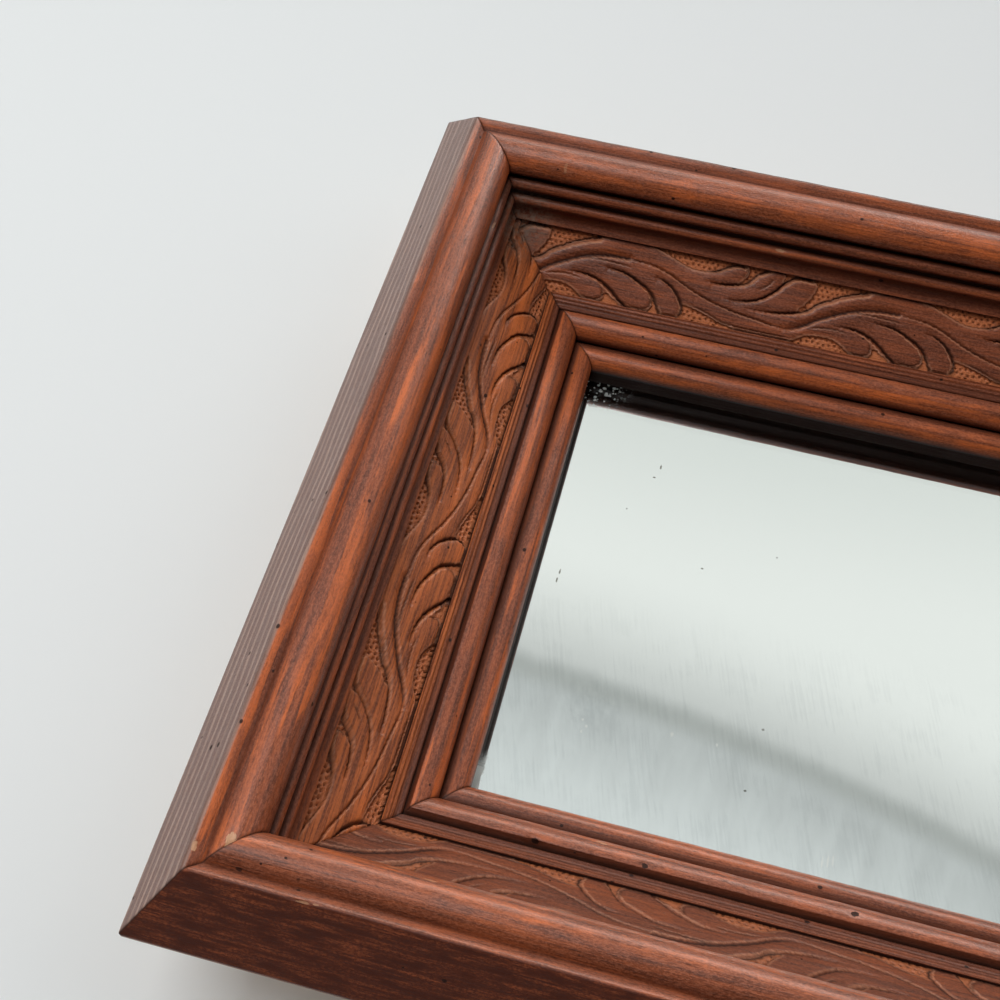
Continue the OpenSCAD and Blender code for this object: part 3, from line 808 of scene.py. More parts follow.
def rail_mesh(name, half_length, half_across):
    """One closed mesh: coarse rows round the moulding, fine rows on the frieze, stitched at its edges."""
    coarse, fine = rail_rows(half_length)
    around = np.arange(len(outline))
    carved = around[frieze_first:frieze_last + 1]
    plain = np.concatenate([around[frieze_last + 1:], around[:frieze_first]])
    bands = shaped(name, fine, carved, half_length), shaped(name, coarse, plain, half_length)
    points = np.concatenate([band.reshape(-1, 3) for band, _ in bands])
    fine_id = np.arange(len(fine) * len(carved)).reshape(len(fine), -1)
    coarse_id = fine_id.size + np.arange(len(coarse) * len(plain)).reshape(len(coarse), -1)
    quads = []
    for ids in (fine_id, coarse_id):
        quads.append(np.stack([ids[:-1, :-1], ids[1:, :-1], ids[1:, 1:], ids[:-1, 1:]], -1).reshape(-1, 4))
    faces = np.concatenate(quads).tolist()
    for i in range(len(coarse) - 1):
        span = slice(i * FINE_ROWS, (i + 1) * FINE_ROWS + 1)
        faces.append([*fine_id[span, -1], coarse_id[i + 1, 0], coarse_id[i, 0]])
        faces.append([coarse_id[i, -1], coarse_id[i + 1, -1], *fine_id[span, 0][::-1]])
    faces.append([*fine_id[0], *coarse_id[0]])
    faces.append([*coarse_id[-1][::-1], *fine_id[-1][::-1]])
    along, inward, forward = points.T * MM
    made = bpy.data.meshes.new(f"{name}_rail_carved")
    upright = np.column_stack([along, wall_side - forward, half_across * MM - inward])
    turn = np.array(Matrix.Rotation(math.radians(-RAILS[name]["turn"]), 3, "Y"))
    made.from_pydata(upright @ turn.T, [], faces)
    for mask in ("board", "carving", "shade_and_wear", "raw"):
        flat = np.concatenate([masks[mask].ravel() for _, masks in bands]).astype(np.float32)
        kind, value = ("FLOAT", "value") if mask == "raw" else ("FLOAT_VECTOR", "vector")
        made.attributes.new(mask, kind, "POINT").data.foreach_set(value, flat)
    smooth_faces(made, RAIL_SMOOTH)
    return made


def group_of(name, inputs, outputs, make):
    """A shader node group: make turns the fields of its inputs into those of its outputs, in their order."""
    tree = bpy.data.node_groups.new(name, "ShaderNodeTree")
    for side, sockets in (("INPUT", inputs), ("OUTPUT", outputs)):
        for socket in sockets:
            kind = "NodeSocketVector" if socket in ("Place", "Middle", "Halves") else "NodeSocketFloat"
            tree.interface.new_socket(name=socket, in_out=side, socket_type=kind)
    given = tree.nodes.new("NodeGroupInput").outputs
    result = tree.nodes.new("NodeGroupOutput").inputs
    for socket, made in zip(outputs, make(*(Field(tree, given[socket]) for socket in inputs))):
        tree.links.new(made.socket, result[socket])
    return tree


def placed(group, **inputs):
    """The fields that a node group puts out where it is placed, by name."""
    tree = tree_of(*inputs.values())
    made = add(tree, "ShaderNodeGroup", inputs, node_tree=group)
    return {socket.name: Field(tree, socket) for socket in made.outputs}


# The grain's masks: length and width of a feature, detail, roughness, and the noise that is 0 and 1
GRAIN_MASKS = {
    "Figure": (0.085, 0.0056, 4.0, 0.55, 0.495, 0.565),
    "Fibre": (0.014, 0.00035, 3.0, 0.6, 0.3, 0.7),
    "Streak": (0.028, 0.0010, 3.0, 0.6, 0.36, 0.64),
    "Fleck": (0.0036, 0.0003, 1.0, 0.5, 0.62, 0.72),
    "Grit": (0.0013, 0.0006, 2.0, 0.8, 0.36, 0.64),
}
RING_PITCH = 0.0041
HEART_BEHIND = 0.085
RING_SWAY = 0.011


def pine_grain(place, seed, heart, pitch):
    """Sawn pine. Place is (along, across, through) in metres; the growth rings lie round a heart line.

    A ring's number is the distance from the heart, swayed by slow noise, over the ring pitch.
    """
    _, across, through = split(place)
    across, through = across - heart, through + HEART_BEHIND
    own_place = vectors("ADD", place, field(place.tree, "ShaderNodeCombineXYZ", {0: seed}))
    sway = drawn_out(own_place, (0.11, 0.035, 0.035), 3.0) * RING_SWAY
    ring = sums("FRACT", (sums("SQRT", across * across + through * through) + sway) / pitch)
    masks = [rise(drawn_out(own_place, (length, width, width), detail, roughness), low, high)
             for length, width, detail, roughness, low, high in GRAIN_MASKS.values()]
    return rise(ring, 0.35, 0.88) * (1 - rise(ring, 0.92, 1.0)), *masks


def old_specks(place, spacing, size):
    """Sparse dark specks: spots near the points of a random lattice, each with a size of its own."""
    lattice = {"Vector": vectors("MULTIPLY", place, (0.8, 1.0, 1.0)), "Scale": 1 / spacing}
    cells = add(place.tree, "ShaderNodeTexVoronoi", lattice).outputs
    own = field(place.tree, "ShaderNodeSeparateColor", {0: Field(place.tree, cells["Color"])})
    share = Field(place.tree, cells["Distance"]) / (own ** 3.0 * size / spacing + 0.001)
    return (1 - rise(share, 0.6, 1.0),)


def ragged_chip(place, middle, halves):
    """A chip: 1 inside an ellipsoid with those half sizes round its middle, and 0 past its ragged edge."""
    reach = vectors("LENGTH", vectors("DIVIDE", vectors("SUBTRACT", place, middle), halves))
    ragged = drawn_out(place, (0.0022, 0.0009, 0.0009), 3.0, 0.6) - 0.5
    return (1 - rise(reach + ragged * 1.3, 0.72, 0.86),)


def corner_dust(place, reach):
    """Grey dust that has settled where the frieze meets the two upper mitres."""
    inward, forward = leaned([(FRIEZE_START, FRIEZE_V)])[0] * MM
    corner = (half_width * MM - inward, forward - wall_side, half_height * MM - inward)
    away = vectors("DISTANCE", vectors("ABSOLUTE", place), corner)
    fluff = rise(drawn_out(place, (0.002, 0.002, 0.002), 5.0, 0.7), 0.35, 0.62)
    return ((1 - rise(away / reach, 0.25, 1.0)) * fluff * (split(place)[2] > 0.0),)


def layered(colour, *layers):
    """The colour under each layer in turn. A layer is its share of the whole, 0 to 1, and its colour."""
    for share, over in layers:
        colour = blend(share, colour, over)
    return colour


def finished(material, inputs, height, strength, distance):
    """The material, with a Principled shader of those inputs, whose surface is bumped by the height."""
    bump = {"Strength": strength, "Distance": distance, "Height": height}
    normal = field(height.tree, "ShaderNodeBump", bump)
    show(field(height.tree, "ShaderNodeBsdfPrincipled", {**inputs, "Normal": normal}))
    return material


DARK_STAIN = (0.090, 0.023, 0.010, 1.0)
RED_STAIN = (0.33, 0.080, 0.028, 1.0)
ORANGE_STAIN = (0.62, 0.140, 0.030, 1.0)
GOLDEN_STAIN = (0.68, 0.205, 0.055, 1.0)
GROUND_STAIN = (0.70, 0.225, 0.085, 1.0)
WORN_STAIN = (0.80, 0.37, 0.21, 1.0)
WAX_BLOOM = (0.33, 0.150, 0.095, 1.0)
# The outer side faces: painted shade for those turned from the light, and painted sheen, with paler ring
# lines, for those that catch it.
SIDE_SHADE = (0.075, 0.016, 0.007, 1.0)
SIDE_SHEEN = (0.195, 0.098, 0.070, 1.0)
SIDE_SHEEN_LINE = (0.53, 0.350, 0.270, 1.0)
BARE_WOOD = (0.64, 0.35, 0.185, 1.0)
SAWN_WOOD = (0.52, 0.33, 0.18, 1.0)
SAWN_LATE = (0.42, 0.20, 0.09, 1.0)
# Near black: dirt spots on the hardboard, and painted shade and dark marks on the rails.
DIRT_AND_SHADE = (0.016, 0.006, 0.004, 1.0)
DUST_GREY = (0.22, 0.155, 0.115, 1.0)
WOOD_SHEEN = 0.17
WAX_ROUGHNESS = 0.34
# Where the frieze's mask climbs and falls across the board, and where the outer side face ends, in metres
FRIEZE_CLIMB, FRIEZE_FALL, SIDE_END = (0.035, 0.038), (0.067, 0.0695), (0.0002, 0.0012)


def marks(board, rail_name, bare):
    """The chips down to bare wood on one rail, or its dark dents: the largest of their masks, or none."""
    found = []
    for at_s, at_u, at_v, half_s, half_across, _, tone in KNOCKS[rail_name]:
        if (tone > 0) == bare:
            middle, halves = Vector((at_s, at_u, at_v)) * MM, Vector((half_s, half_across, half_across)) * MM
            found.append(placed(chips, Place=board, Middle=middle, Halves=halves)["Chip"] * abs(tone))
    return most(*found) if found else 0.0


def stained_pine(rail_name):
    """Stained and waxed pine. The stain is deepest in the soft wood, painted shade darkens the hollows, and
    on crests open to the sky the stain is worn thin with painted light added.

    A rail's warmth is how strong the orange figure shows, and its side how far the outer side face is
    painted pale and lined with sheen rather than dark with shade. Its frieze is how matt and how deeply
    stained the frieze is.
    """
    rail = RAILS[rail_name]
    warmth, side, (frieze_matt, frieze_dark) = rail["warmth"], rail["side"], rail["frieze"]
    material, place = blank_material(f"{rail_name}_stained_pine")
    board, carving, shade_and_wear, raw = (
        field(place.tree, "ShaderNodeAttribute", output=output, attribute_name=mask)
        for mask, output in (("board", "Vector"), ("carving", "Vector"), ("shade_and_wear", "Vector"), ("raw", "Fac")))
    (ground, pale, crevice_shade), (hidden, crest, joint), raw = split(carving), split(shade_and_wear), rise(raw, 0.7, 0.9)
    grain = placed(pine, Place=board, Seed=rail["seed"], Heart=rail["heart"], Pitch=RING_PITCH)
    late, figure, fibre, streak, fleck, grit = grain.values()
    speck = placed(specks, Place=board, Spacing=0.0055, Size=0.0011)["Speck"]
    dust = placed(dust_in_corners, Place=place, Reach=0.024)["Dust"]
    across = split(board)[1]
    side_face = 1 - rise(across, *SIDE_END)
    frieze = rise(across, *FRIEZE_CLIMB) * (1 - rise(across, *FRIEZE_FALL))

    tone = streak * 0.5 + grit * 0.5
    veined = frieze * (streak * 1.1 + 0.25) * ((warmth - 0.3) * 0.6)
    figure = most(figure * (late * 0.55 + 0.45) * warmth, veined)
    bloom = rise(grit, 0.45, 1.0) * (1 - figure)
    patchy = drawn_out(board, (0.012, 0.003, 0.003), 3.0)
    # Worn thin stain with painted light: orange on crests open to the sky.
    thin_and_lit = crest * (rise(patchy, 0.4, 0.65) * 0.45 + 0.25) * (1.4 - 0.8 * warmth)
    warm = ((figure + thin_and_lit) * (tone * 0.6 + 0.5)).held()
    drift = rise(drawn_out(board, (0.055, 0.007, 0.007), 4.0, 0.6), 0.47, 0.62)
    # Painted shade where the sky is hidden, with random drifts of darker stain and a deeper stained frieze.
    shade_and_settled_stain = most(rise(hidden, 0.15, 0.46) * 0.85, drift * (0.4 * (1 - warmth)), frieze * frieze_dark)
    colour = layered(
        blend(tone, DARK_STAIN, RED_STAIN), (bloom * 0.25, WAX_BLOOM), (warm, ORANGE_STAIN),
        (veined * 0.6, GOLDEN_STAIN), (shade_and_settled_stain, DARK_STAIN),
        (ground * 0.9, blend(tone * 0.5, GROUND_STAIN, RED_STAIN)), (pale * 0.8, WORN_STAIN))

    faint = rise(drawn_out(board, (0.05, 0.004, 0.004), 2.0), 0.3, 0.65)
    line = rise(late, 0.15, 0.9) * (faint * 0.6 + 0.35)
    # Painted sheen on a lit outer side face, with paler ring lines, and painted shade on a dark one.
    sheen_lined = layered(SIDE_SHEEN, (line * (tone * 0.5 + 0.65), SIDE_SHEEN_LINE), (tone * 0.3, DARK_STAIN))
    shaded_side = blend(tone * tone * rise(patchy, 0.35, 0.65), SIDE_SHADE, RED_STAIN)
    bled = rise(drawn_out(board, (0.06, 0.012, 0.012), 4.0, 0.6), 0.5, 0.68)
    sawn = layered(SAWN_WOOD, (late * 0.7, SAWN_LATE), (bled * 0.3, RED_STAIN), (tone * 0.2, DARK_STAIN))
    dents, bared = (marks(board, rail_name, bare) for bare in (False, True))
    # Painted shade in the carving's crevices and the hollows, with dark joints, flecks, dents and specks.
    shade_and_marks = most(crevice_shade, rise(hidden, 0.45, 1.0), joint, fleck * 0.4, dents, speck) * 0.92
    colour = layered(colour, (side_face, blend(side, shaded_side, sheen_lined)), (shade_and_marks, DIRT_AND_SHADE),
                     (dust * 0.75, DUST_GREY), (bared, BARE_WOOD), (raw, sawn))

    matt = most(ground, raw, frieze * frieze_matt)
    unrubbed = most(shade_and_marks, rise(hidden, 0.08, 0.35) * 0.7)
    dull_side = side_face * (1 - side)
    rough = tone * 0.13 + 0.29 + matt * 0.25 + most(unrubbed, dull_side) * 0.3 + dust * 0.4
    wax = ((0.53 - dull_side * 0.48 - matt * 0.36) * (1 - unrubbed).held()).held()
    height = fibre * 0.5 + grit * 0.9 + streak * 0.9 + late * 0.8 - most(fleck, speck) * 1.5 + dust * 2.0
    return finished(material, {
        "Base Color": colour, "Roughness": rough.held(), "Specular IOR Level": WOOD_SHEEN,
        "Coat Weight": wax, "Coat Roughness": WAX_ROUGHNESS}, height, 0.6, 0.00014)


glass_low, glass_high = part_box("mirror_glass")
half_width, half_height = cad_box[1].x / MM, cad_box[1].z / MM
wall_side = glass_low.y + glass_level * MM
flat_outline = leaned(outline)
normals = outline_normals(flat_outline)
lip_in, bead_forward = flat_outline[:, 0].max(), leaned([SIGHT_BEAD])[0, 1]
# The lip under the sight bead counts as hidden sky, so it is painted in shade.
shade_below_bead = climb(bead_forward - flat_outline[:, 1], *SHADE_UNDER_BEAD)
shade_under_bead = np.where(flat_outline[:, 0] > lip_in - SIGHT_BEAD_R / 2, shade_below_bead, 0)
hidden_sky = np.maximum(shelter(outline), shade_under_bead)
raw_columns = np.where(outline[:, 1] < BACK_V, 1.0, 0.0)
raw_columns[:frieze_first] = outline[:frieze_first, 1] < EASED_EDGE + 0.1
raw_columns[shade_under_bead > 0] = 0
pine = group_of("pine_grain", ("Place", "Seed", "Heart", "Pitch"), ("Late wood", *GRAIN_MASKS), pine_grain)
specks = group_of("old_specks", ("Place", "Spacing", "Size"), ("Speck",), old_specks)
chips = group_of("chip", ("Place", "Middle", "Halves"), ("Chip",), ragged_chip)
dust_in_corners = group_of("corner_dust", ("Place", "Reach"), ("Dust",), corner_dust)


def stand_in(mesh, node, body, material):
    """One object of that mesh and material, which takes the place of a CAD node and moves with its body."""
    mesh.materials.append(material)
    made = bpy.data.objects.new(mesh.name, mesh)
    bpy.context.collection.objects.link(made)
    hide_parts(node)
    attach(made, body)


for rail_name in RAILS:
    upright_rail = rail_name in ("left", "right")
    halves = (half_height, half_width) if upright_rail else (half_width, half_height)
    made = rail_mesh(rail_name, *halves)
    stand_in(made, f"{rail_name}_rail", "frame", stained_pine(rail_name))


# The mirror glass
# A pane of clear float glass with its edges ground to a small arris. Its silver and paint are on its back.
FITTING_SMOOTH = 40
GLASS_ARRIS = 0.6
SILVER_ARRIS = 0.05
SILVER_SEAT = 0.02
PAINT_DEPTH = 0.00005
GLASS_TINT = (0.975, 0.985, 0.98, 1.0)
SILVER = (0.90, 0.915, 0.905, 1.0)
WORN_SILVER = (0.28, 0.27, 0.24, 1.0)
SMEARED = (0.80, 0.82, 0.815, 1.0)
# Pale lint and marks, and the pale painted reflection at the frayed edge of the silver
LINT_AND_LIT_EDGE = (0.97, 0.96, 0.93, 1.0)
LINT_X, LINT_Z = -0.118, 0.099
WIPE_SLANT = -0.3
SMUDGED = (0.76, 0.78, 0.775, 1.0)
SMUDGE_X, SMUDGE_Z = -0.089, -0.050
LIT_FRAY_WIDTH = 0.0042
SIGHT_X = (half_width - lip_in) * MM
PAINT_BACK = (0.22, 0.23, 0.24, 1.0)
# Marks on the mirror, in millimetres: their middle in x and z, and half their sizes. Paler ones follow.
DARK_MARKS = [(-84.3, 63.4, 0.5, 1.4), (-85.9, 57.6, 0.9, 0.5), (-113.3, 3.8, 0.4, 1.4),
              (-113.6, -0.4, 0.4, 1.4), (-93.8, 39.6, 0.4, 0.4), (-59.1, 19.9, 0.7, 0.4),
              (-31.0, 32.9, 0.4, 0.4), (-27.6, -67.4, 0.6, 0.5)]
PALE_MARKS = [(-90.5, -55.6, 0.6, 0.6), (-88.6, -58.0, 0.6, 0.6), (-90.0, -60.4, 0.5, 0.6),
              (-57.3, -52.9, 0.7, 1.2), (-40.5, -52.5, 0.6, 1.0), (3.0, -86.4, 0.5, 2.6),
              (4.9, -85.6, 0.5, 2.9), (6.6, -84.9, 0.5, 2.6)]


def sheet(points, closed_rows=False):
    """Points on a grid of rows and columns, each row a closed ring, as points and outward faces.

    The first and last rows are closed by one face each, or joined to one another where closed_rows is set.
    """
    ids = np.arange(points.shape[0] * points.shape[1]).reshape(points.shape[:2])
    last = len(ids) if closed_rows else -1
    over = np.roll(ids, -1, 0)
    quads = [ids[:last], np.roll(ids, -1, 1)[:last], np.roll(over, -1, 1)[:last], over[:last]]
    faces = np.stack(quads, -1).reshape(-1, 4).tolist()
    if not closed_rows:
        faces += [ids[0][::-1].tolist(), ids[-1].tolist()]
    return points.reshape(-1, 3), faces


def fitting(name, node, body, material, sheets, smooth=FITTING_SMOOTH):
    """One object from several sheets, in millimetres, that takes the place of a CAD node."""
    points, faces = [], []
    for sheet_points, sheet_faces in sheets:
        start = sum(len(p) for p in points)
        points.append(sheet_points)
        faces += [[i + start for i in face] for face in sheet_faces]
    made = bpy.data.meshes.new(name)
    made.from_pydata(np.concatenate(points) * MM, [], faces)
    shell = bmesh.new()
    shell.from_mesh(made)
    bmesh.ops.recalc_face_normals(shell, faces=shell.faces)
    shell.to_mesh(made)
    shell.free()
    smooth_faces(made, smooth)
    stand_in(made, node, body, material)


def cad_corners(node):
    """The node's box in millimetres."""
    return [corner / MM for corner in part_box(node)]


def slab(low, high, arris):
    """A closed rectangular slab whose twelve edges are cut back by a small flat arris.

    Four rings of four corners: each big face's ring is inset by the arris, and each side ring is full size.
    """
    low, high = np.array(low), np.array(high)
    corners = np.array([(0, 0), (1, 0), (1, 1), (0, 1)])
    rings = []
    for y, inset in ((low[1], arris), (low[1] + arris, 0), (high[1] - arris, 0), (high[1], arris)):
        flat = low[[0, 2]] + inset + corners * (high - low - 2 * inset)[[0, 2]]
        rings.append(np.column_stack([flat[:, 0], np.full(4, y), flat[:, 1]]))
    return sheet(np.stack(rings))


def glass_material():
    """Clear float glass with a few small smears that only its roughness shows."""
    material, place = blank_material("clear_glass")
    smear = rise(drawn_out(place, (0.05, 0.05, 0.012), 4.0, 0.6), 0.55, 0.8)
    show(field(place.tree, "ShaderNodeBsdfPrincipled", {
        "Base Color": GLASS_TINT, "Roughness": smear * 0.03, "IOR": 1.5, "Transmission Weight": 1.0}))
    return material


def near_to(place, x, z, low, high):
    """1 up to low from that point of the silver, and 0 from high."""
    return 1 - rise(vectors("DISTANCE", place, (x, float(silver_high.y), z)), low, high)


def mirror_marks(place, listed):
    """The largest mask of the marks in the list."""
    return most(*(
        placed(chips, Place=place, Middle=Vector((x * MM, float(silver_high.y), z * MM)),
               Halves=Vector((half_x * MM, 0.002, half_z * MM)))["Chip"]
        for x, z, half_x, half_z in listed))


def silver_material():
    """Silver seen through the glass, tarnished in small spots near its edges, and grey paint behind it."""
    material, place = blank_material("silver_coat")
    x, y, z = split(place)
    folded_x, _, folded_z = split(vectors("ABSOLUTE", place))
    rim = most(folded_x - float(glass_high.x), folded_z - float(glass_high.z))
    tarnish = rise(rim + drawn_out(place, (0.003, 0.003, 0.003), 5.0, 0.65) * 0.004, 0.001, 0.003)
    spots = placed(specks, Place=place, Spacing=0.019, Size=0.0007)["Speck"]
    dark, pale = (mirror_marks(place, listed) for listed in (DARK_MARKS, PALE_MARKS))
    lint = placed(specks, Place=place, Spacing=0.0011, Size=0.0012)["Speck"]
    lint = lint * near_to(place, LINT_X, LINT_Z, 0.003, 0.017)
    low_down = z * -1.0
    # A pale frayed edge of the silver low on the left, which also paints in the light reflected from the
    # bead's underside there.
    frayed_lit_edge = drawn_out(place, (0.0009, 0.0009, 0.0022), 4.0, 0.7) * LIT_FRAY_WIDTH - (x + SIGHT_X + 0.0004)
    frayed_lit_edge = rise(frayed_lit_edge, 0.0, 0.0004) * rise(low_down, 0.074, 0.092)
    slanted = field(place.tree, "ShaderNodeCombineXYZ", {0: x - z * WIPE_SLANT, 1: 0.0, 2: z})
    wiped = drawn_out(slanted, (0.0013, 1.0, 0.03), 4.0, 0.6)
    wiped = wiped * drawn_out(place, (0.02, 1.0, 0.016), 3.0, 0.6)
    wiped = rise(wiped, 0.23, 0.36) * rise(low_down, -0.01, 0.03)
    cloudy = rise(drawn_out(slanted, (0.005, 1.0, 0.012), 5.0, 0.7), 0.34, 0.62)
    smudge = near_to(place, SMUDGE_X, SMUDGE_Z, 0.001, 0.018) * cloudy
    painted = y > float(glass_high.y) + PAINT_DEPTH
    worn = most(tarnish, dark, spots * 0.8)
    colour = layered(SILVER, (wiped * 0.5, SMEARED), (smudge, SMUDGED), (worn, WORN_SILVER),
                     (most(pale, lint, frayed_lit_edge), LINT_AND_LIT_EDGE), (painted, PAINT_BACK))
    dull = most(tarnish, lint, frayed_lit_edge)
    rough = most(painted, dull) * 0.5 + pale * 0.06 + 0.015
    show(field(place.tree, "ShaderNodeBsdfPrincipled", {
        "Base Color": colour, "Metallic": 1 - most(painted, dull * 0.7), "Roughness": rough}))
    return material


silver_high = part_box("mirror_silvering")[1]
silver_corners = cad_corners("mirror_silvering")
silver_corners[0].y -= SILVER_SEAT
pane = [slab(*cad_corners("mirror_glass"), GLASS_ARRIS)]
fitting("arrised_glass", "mirror_glass", "frame", glass_material(), pane, 0)
coat = [slab(*silver_corners, SILVER_ARRIS)]
fitting("silver_and_paint", "mirror_silvering", "frame", silver_material(), coat, 0)


# The backing board
# A sheet of hardboard fills the rest of the rebate behind the silver. Its smooth side faces the wall.
BACKING_ARRIS = 0.5
HARDBOARD = (0.20, 0.095, 0.045, 1.0)
HARDBOARD_LIGHT = (0.34, 0.19, 0.10, 1.0)
SCUFF = (0.46, 0.33, 0.22, 1.0)
FIBRE_SWIRL = (0.006, 0.006, 0.006)


def hardboard_material():
    """Pressed brown fibres at every angle, with scuffs, a few spots, and dust along the lower edge."""
    material, place = blank_material("hardboard")
    warp = field(place.tree, "ShaderNodeTexNoise", {"Vector": place, "Scale": 260.0, "Detail": 3.0}, "Color")
    swirled = vectors("ADD", place, vectors("MULTIPLY", warp, FIBRE_SWIRL))
    fibre = drawn_out(swirled, (0.0032, 0.001, 0.0005), 3.0, 0.65)
    patch = drawn_out(place, (0.05, 0.05, 0.03), 4.0, 0.6)
    scuff = rise(drawn_out(swirled, (0.03, 0.01, 0.0008)), 0.62, 0.7) * rise(patch, 0.5, 0.62)
    spot = placed(specks, Place=place, Spacing=0.011, Size=0.0014)["Speck"]
    dusty = rise(split(place)[2] * -1.0, 0.05, 0.10) * patch
    colour = layered(HARDBOARD, (rise(fibre, 0.36, 0.66), HARDBOARD_LIGHT), (scuff * 0.7, SCUFF),
                     (spot * 0.7, DIRT_AND_SHADE), (dusty * 0.8, DUST_GREY))
    rough = most(dusty, scuff) * 0.4 + 0.34
    return finished(material, {"Base Color": colour, "Roughness": rough}, fibre, 0.3, 0.0001)


fitting("hardboard_backing", "backing_board", "frame", hardboard_material(),
        [slab(*cad_corners("backing_board"), BACKING_ARRIS)], 0)


# The metal of the fittings
# One node group of tarnish, scratches and grain serves both the zinc and the brass plating.
ZINC = (0.50, 0.51, 0.52, 1.0)
ZINC_DULL = (0.25, 0.25, 0.26, 1.0)
BRASS = (0.62, 0.45, 0.18, 1.0)
BRASS_DULL = (0.23, 0.15, 0.07, 1.0)
RUST = (0.16, 0.055, 0.022, 1.0)


def worn_plating(place, patch):
    """Plating in patches of a few millimetres: how dull it is, how rusty, and a height of fine scratches."""
    dull = noise(place, 5.0, 0.6, 1 / patch)
    pits = noise(place, 4.0, 0.7, 1 / patch * 3.0)
    rust = rise(pits, 0.60, 0.68) * rise(dull, 0.5, 0.62)
    return rise(dull, 0.38, 0.66), rust, drawn_out(place, (0.002, 0.0001, 0.0001)) + pits * 0.6


old_metal = group_of("old_metal", ("Place", "Patch"), ("Dull", "Rust", "Height"), worn_plating)


def plated_material(name, bright, dull, patch):
    """Thin bright plating on steel, dulled in patches, with rust in a few pits."""
    material, place = blank_material(name)
    worn = placed(old_metal, Place=place, Patch=patch)
    rough = most(worn["Dull"], worn["Rust"]) * 0.3 + 0.28
    return finished(material, {
        "Base Color": layered(bright, (worn["Dull"], dull), (worn["Rust"], RUST)),
        "Metallic": 1 - worn["Rust"] * 0.9, "Roughness": rough}, worn["Height"], 0.3, 0.00004)


zinc = plated_material("zinc_steel", ZINC, ZINC_DULL, 0.004)
brass = plated_material("brassed_steel", BRASS, BRASS_DULL, 0.005)


def turned(profile, sides=40):
    """A closed turned solid about the +Y axis from (radius, y) points, with no point on the axis."""
    radius, y = np.array(profile, float).T
    angle = np.linspace(0, 2 * math.pi, sides, endpoint=False)
    level = np.broadcast_to(y[:, None], (len(y), sides))
    return np.stack([radius[:, None] * np.cos(angle), level, radius[:, None] * np.sin(angle)], -1)


# The glazing points
# Stamped steel points pressed half into the rebate's wall, each with a turned-up tab for the driver.
POINT_L = 13.0
POINT_W = 9.0
POINT_CORNER = 1.6
TAB_UP = 1.3
TAB_FOLD, TAB_END = 0.28, 0.44
LONG_PLACES = (-84.8, 0.0, 84.8)
SIDE_PLACES = (-37.85, 37.85)


def glazing_point(thickness):
    """One point lying flat, its length along +Z, with its middle at the rebate's wall.

    Half its width is POINT_W / 2, less POINT_CORNER (1 - sqrt(1 - t^2)) where t runs 0 to 1 into each end.
    The tab's height rises in a straight line from its fold to its end.
    """
    along = np.array([0, 0.015, 0.04, 0.08, 0.13, 0.2, TAB_FOLD, 0.36, TAB_END, TAB_END + 0.01, 0.6, 0.75,
                      0.87, 0.92, 0.96, 0.985, 1])
    into_end = 1 - np.clip(np.minimum(along, 1 - along) * POINT_L / POINT_CORNER, 0, 1)
    half = POINT_W / 2 - POINT_CORNER * (1 - np.sqrt(1 - into_end ** 2))
    across = np.array([-1, -0.9, -0.37, -0.34, 0.34, 0.37, 0.9, 1])
    x = half[:, None] * across
    z = np.broadcast_to((along[:, None] - 0.5) * POINT_L, x.shape)
    raised = np.clip((along - TAB_FOLD) / (TAB_END - TAB_FOLD), 0, 1) * (along <= TAB_END)
    lift = TAB_UP * raised[:, None] * (np.abs(across) < 0.35)
    rounded = 0.12 * (np.abs(across) > 0.95)
    upper = np.stack([x, thickness + lift - rounded, z], -1)
    under = np.stack([x, lift * 0.8 + rounded, z], -1)
    return np.concatenate([upper, under[:, ::-1]], 1)


def all_points():
    """Three points on each long side and two on each short side, each turned to its own wall."""
    low, high = cad_corners("glazing_points")
    one = glazing_point(high.y - low.y)
    sheets = []
    for turn, places, outer in ((0, LONG_PLACES, high.z), (180, LONG_PLACES, high.z),
                                (90, SIDE_PLACES, high.x), (-90, SIDE_PLACES, high.x)):
        turned_by = np.array(Matrix.Rotation(math.radians(turn), 3, "Y"))
        sheets += [sheet((one + (place, low.y, outer - POINT_L / 2)) @ turned_by.T) for place in places]
    return sheets


fitting("stamped_glazing_points", "glazing_points", "frame", zinc, all_points(), 30)


# The corner nails
# V nails of thin bent steel, two at each mitre, driven across the joint until they are flush with the back.
NAIL_WING = 5.0
NAIL_T = 0.6
NAIL_H = 11.5
NAIL_PROUD = 0.12
NAIL_ARRIS = 0.08
OUTER_NAIL_IN = 32.0
NAIL_INSIDE_WALL = 5.4


def bent_strip(inset):
    """The outline of a V of strip in plan: its point is at the origin, rounded, and its wings are square."""
    far, near, tip = NAIL_WING - inset, inset, NAIL_T - inset
    half = [(far, near), (0.8, near), (0.25 + near, 0.25 + near), (near, 0.8), (near, far)]
    back = [(tip, far), (tip, tip + 0.4), (tip + 0.1, tip + 0.1), (tip + 0.4, tip), (far, tip)]
    return np.array(half + back)


def all_nails():
    """Each V is raised from a plan outline, and mirrored into the four corners of the frame."""
    sheets = []
    rebate_in = half_width - glass_high.x / MM
    for place in (OUTER_NAIL_IN, rebate_in - NAIL_INSIDE_WALL):
        level = max(-place * math.tan(LEAN), glass_level - REBATE_D)
        upper = wall_side / MM - level + NAIL_PROUD
        rings = []
        for y, inset in ((upper - NAIL_H, 0.0), (upper - NAIL_ARRIS, 0.0), (upper, NAIL_ARRIS)):
            plan = bent_strip(inset) + place - EASED_EDGE - NAIL_T
            level_ring = np.full(len(plan), y)
            rings.append(np.column_stack([plan[:, 0] - half_width, level_ring, plan[:, 1] - half_height]))
        nail = np.stack(rings)
        sheets += [sheet(nail * (side_x, 1, side_z)) for side_x in (1, -1) for side_z in (1, -1)]
    return sheets


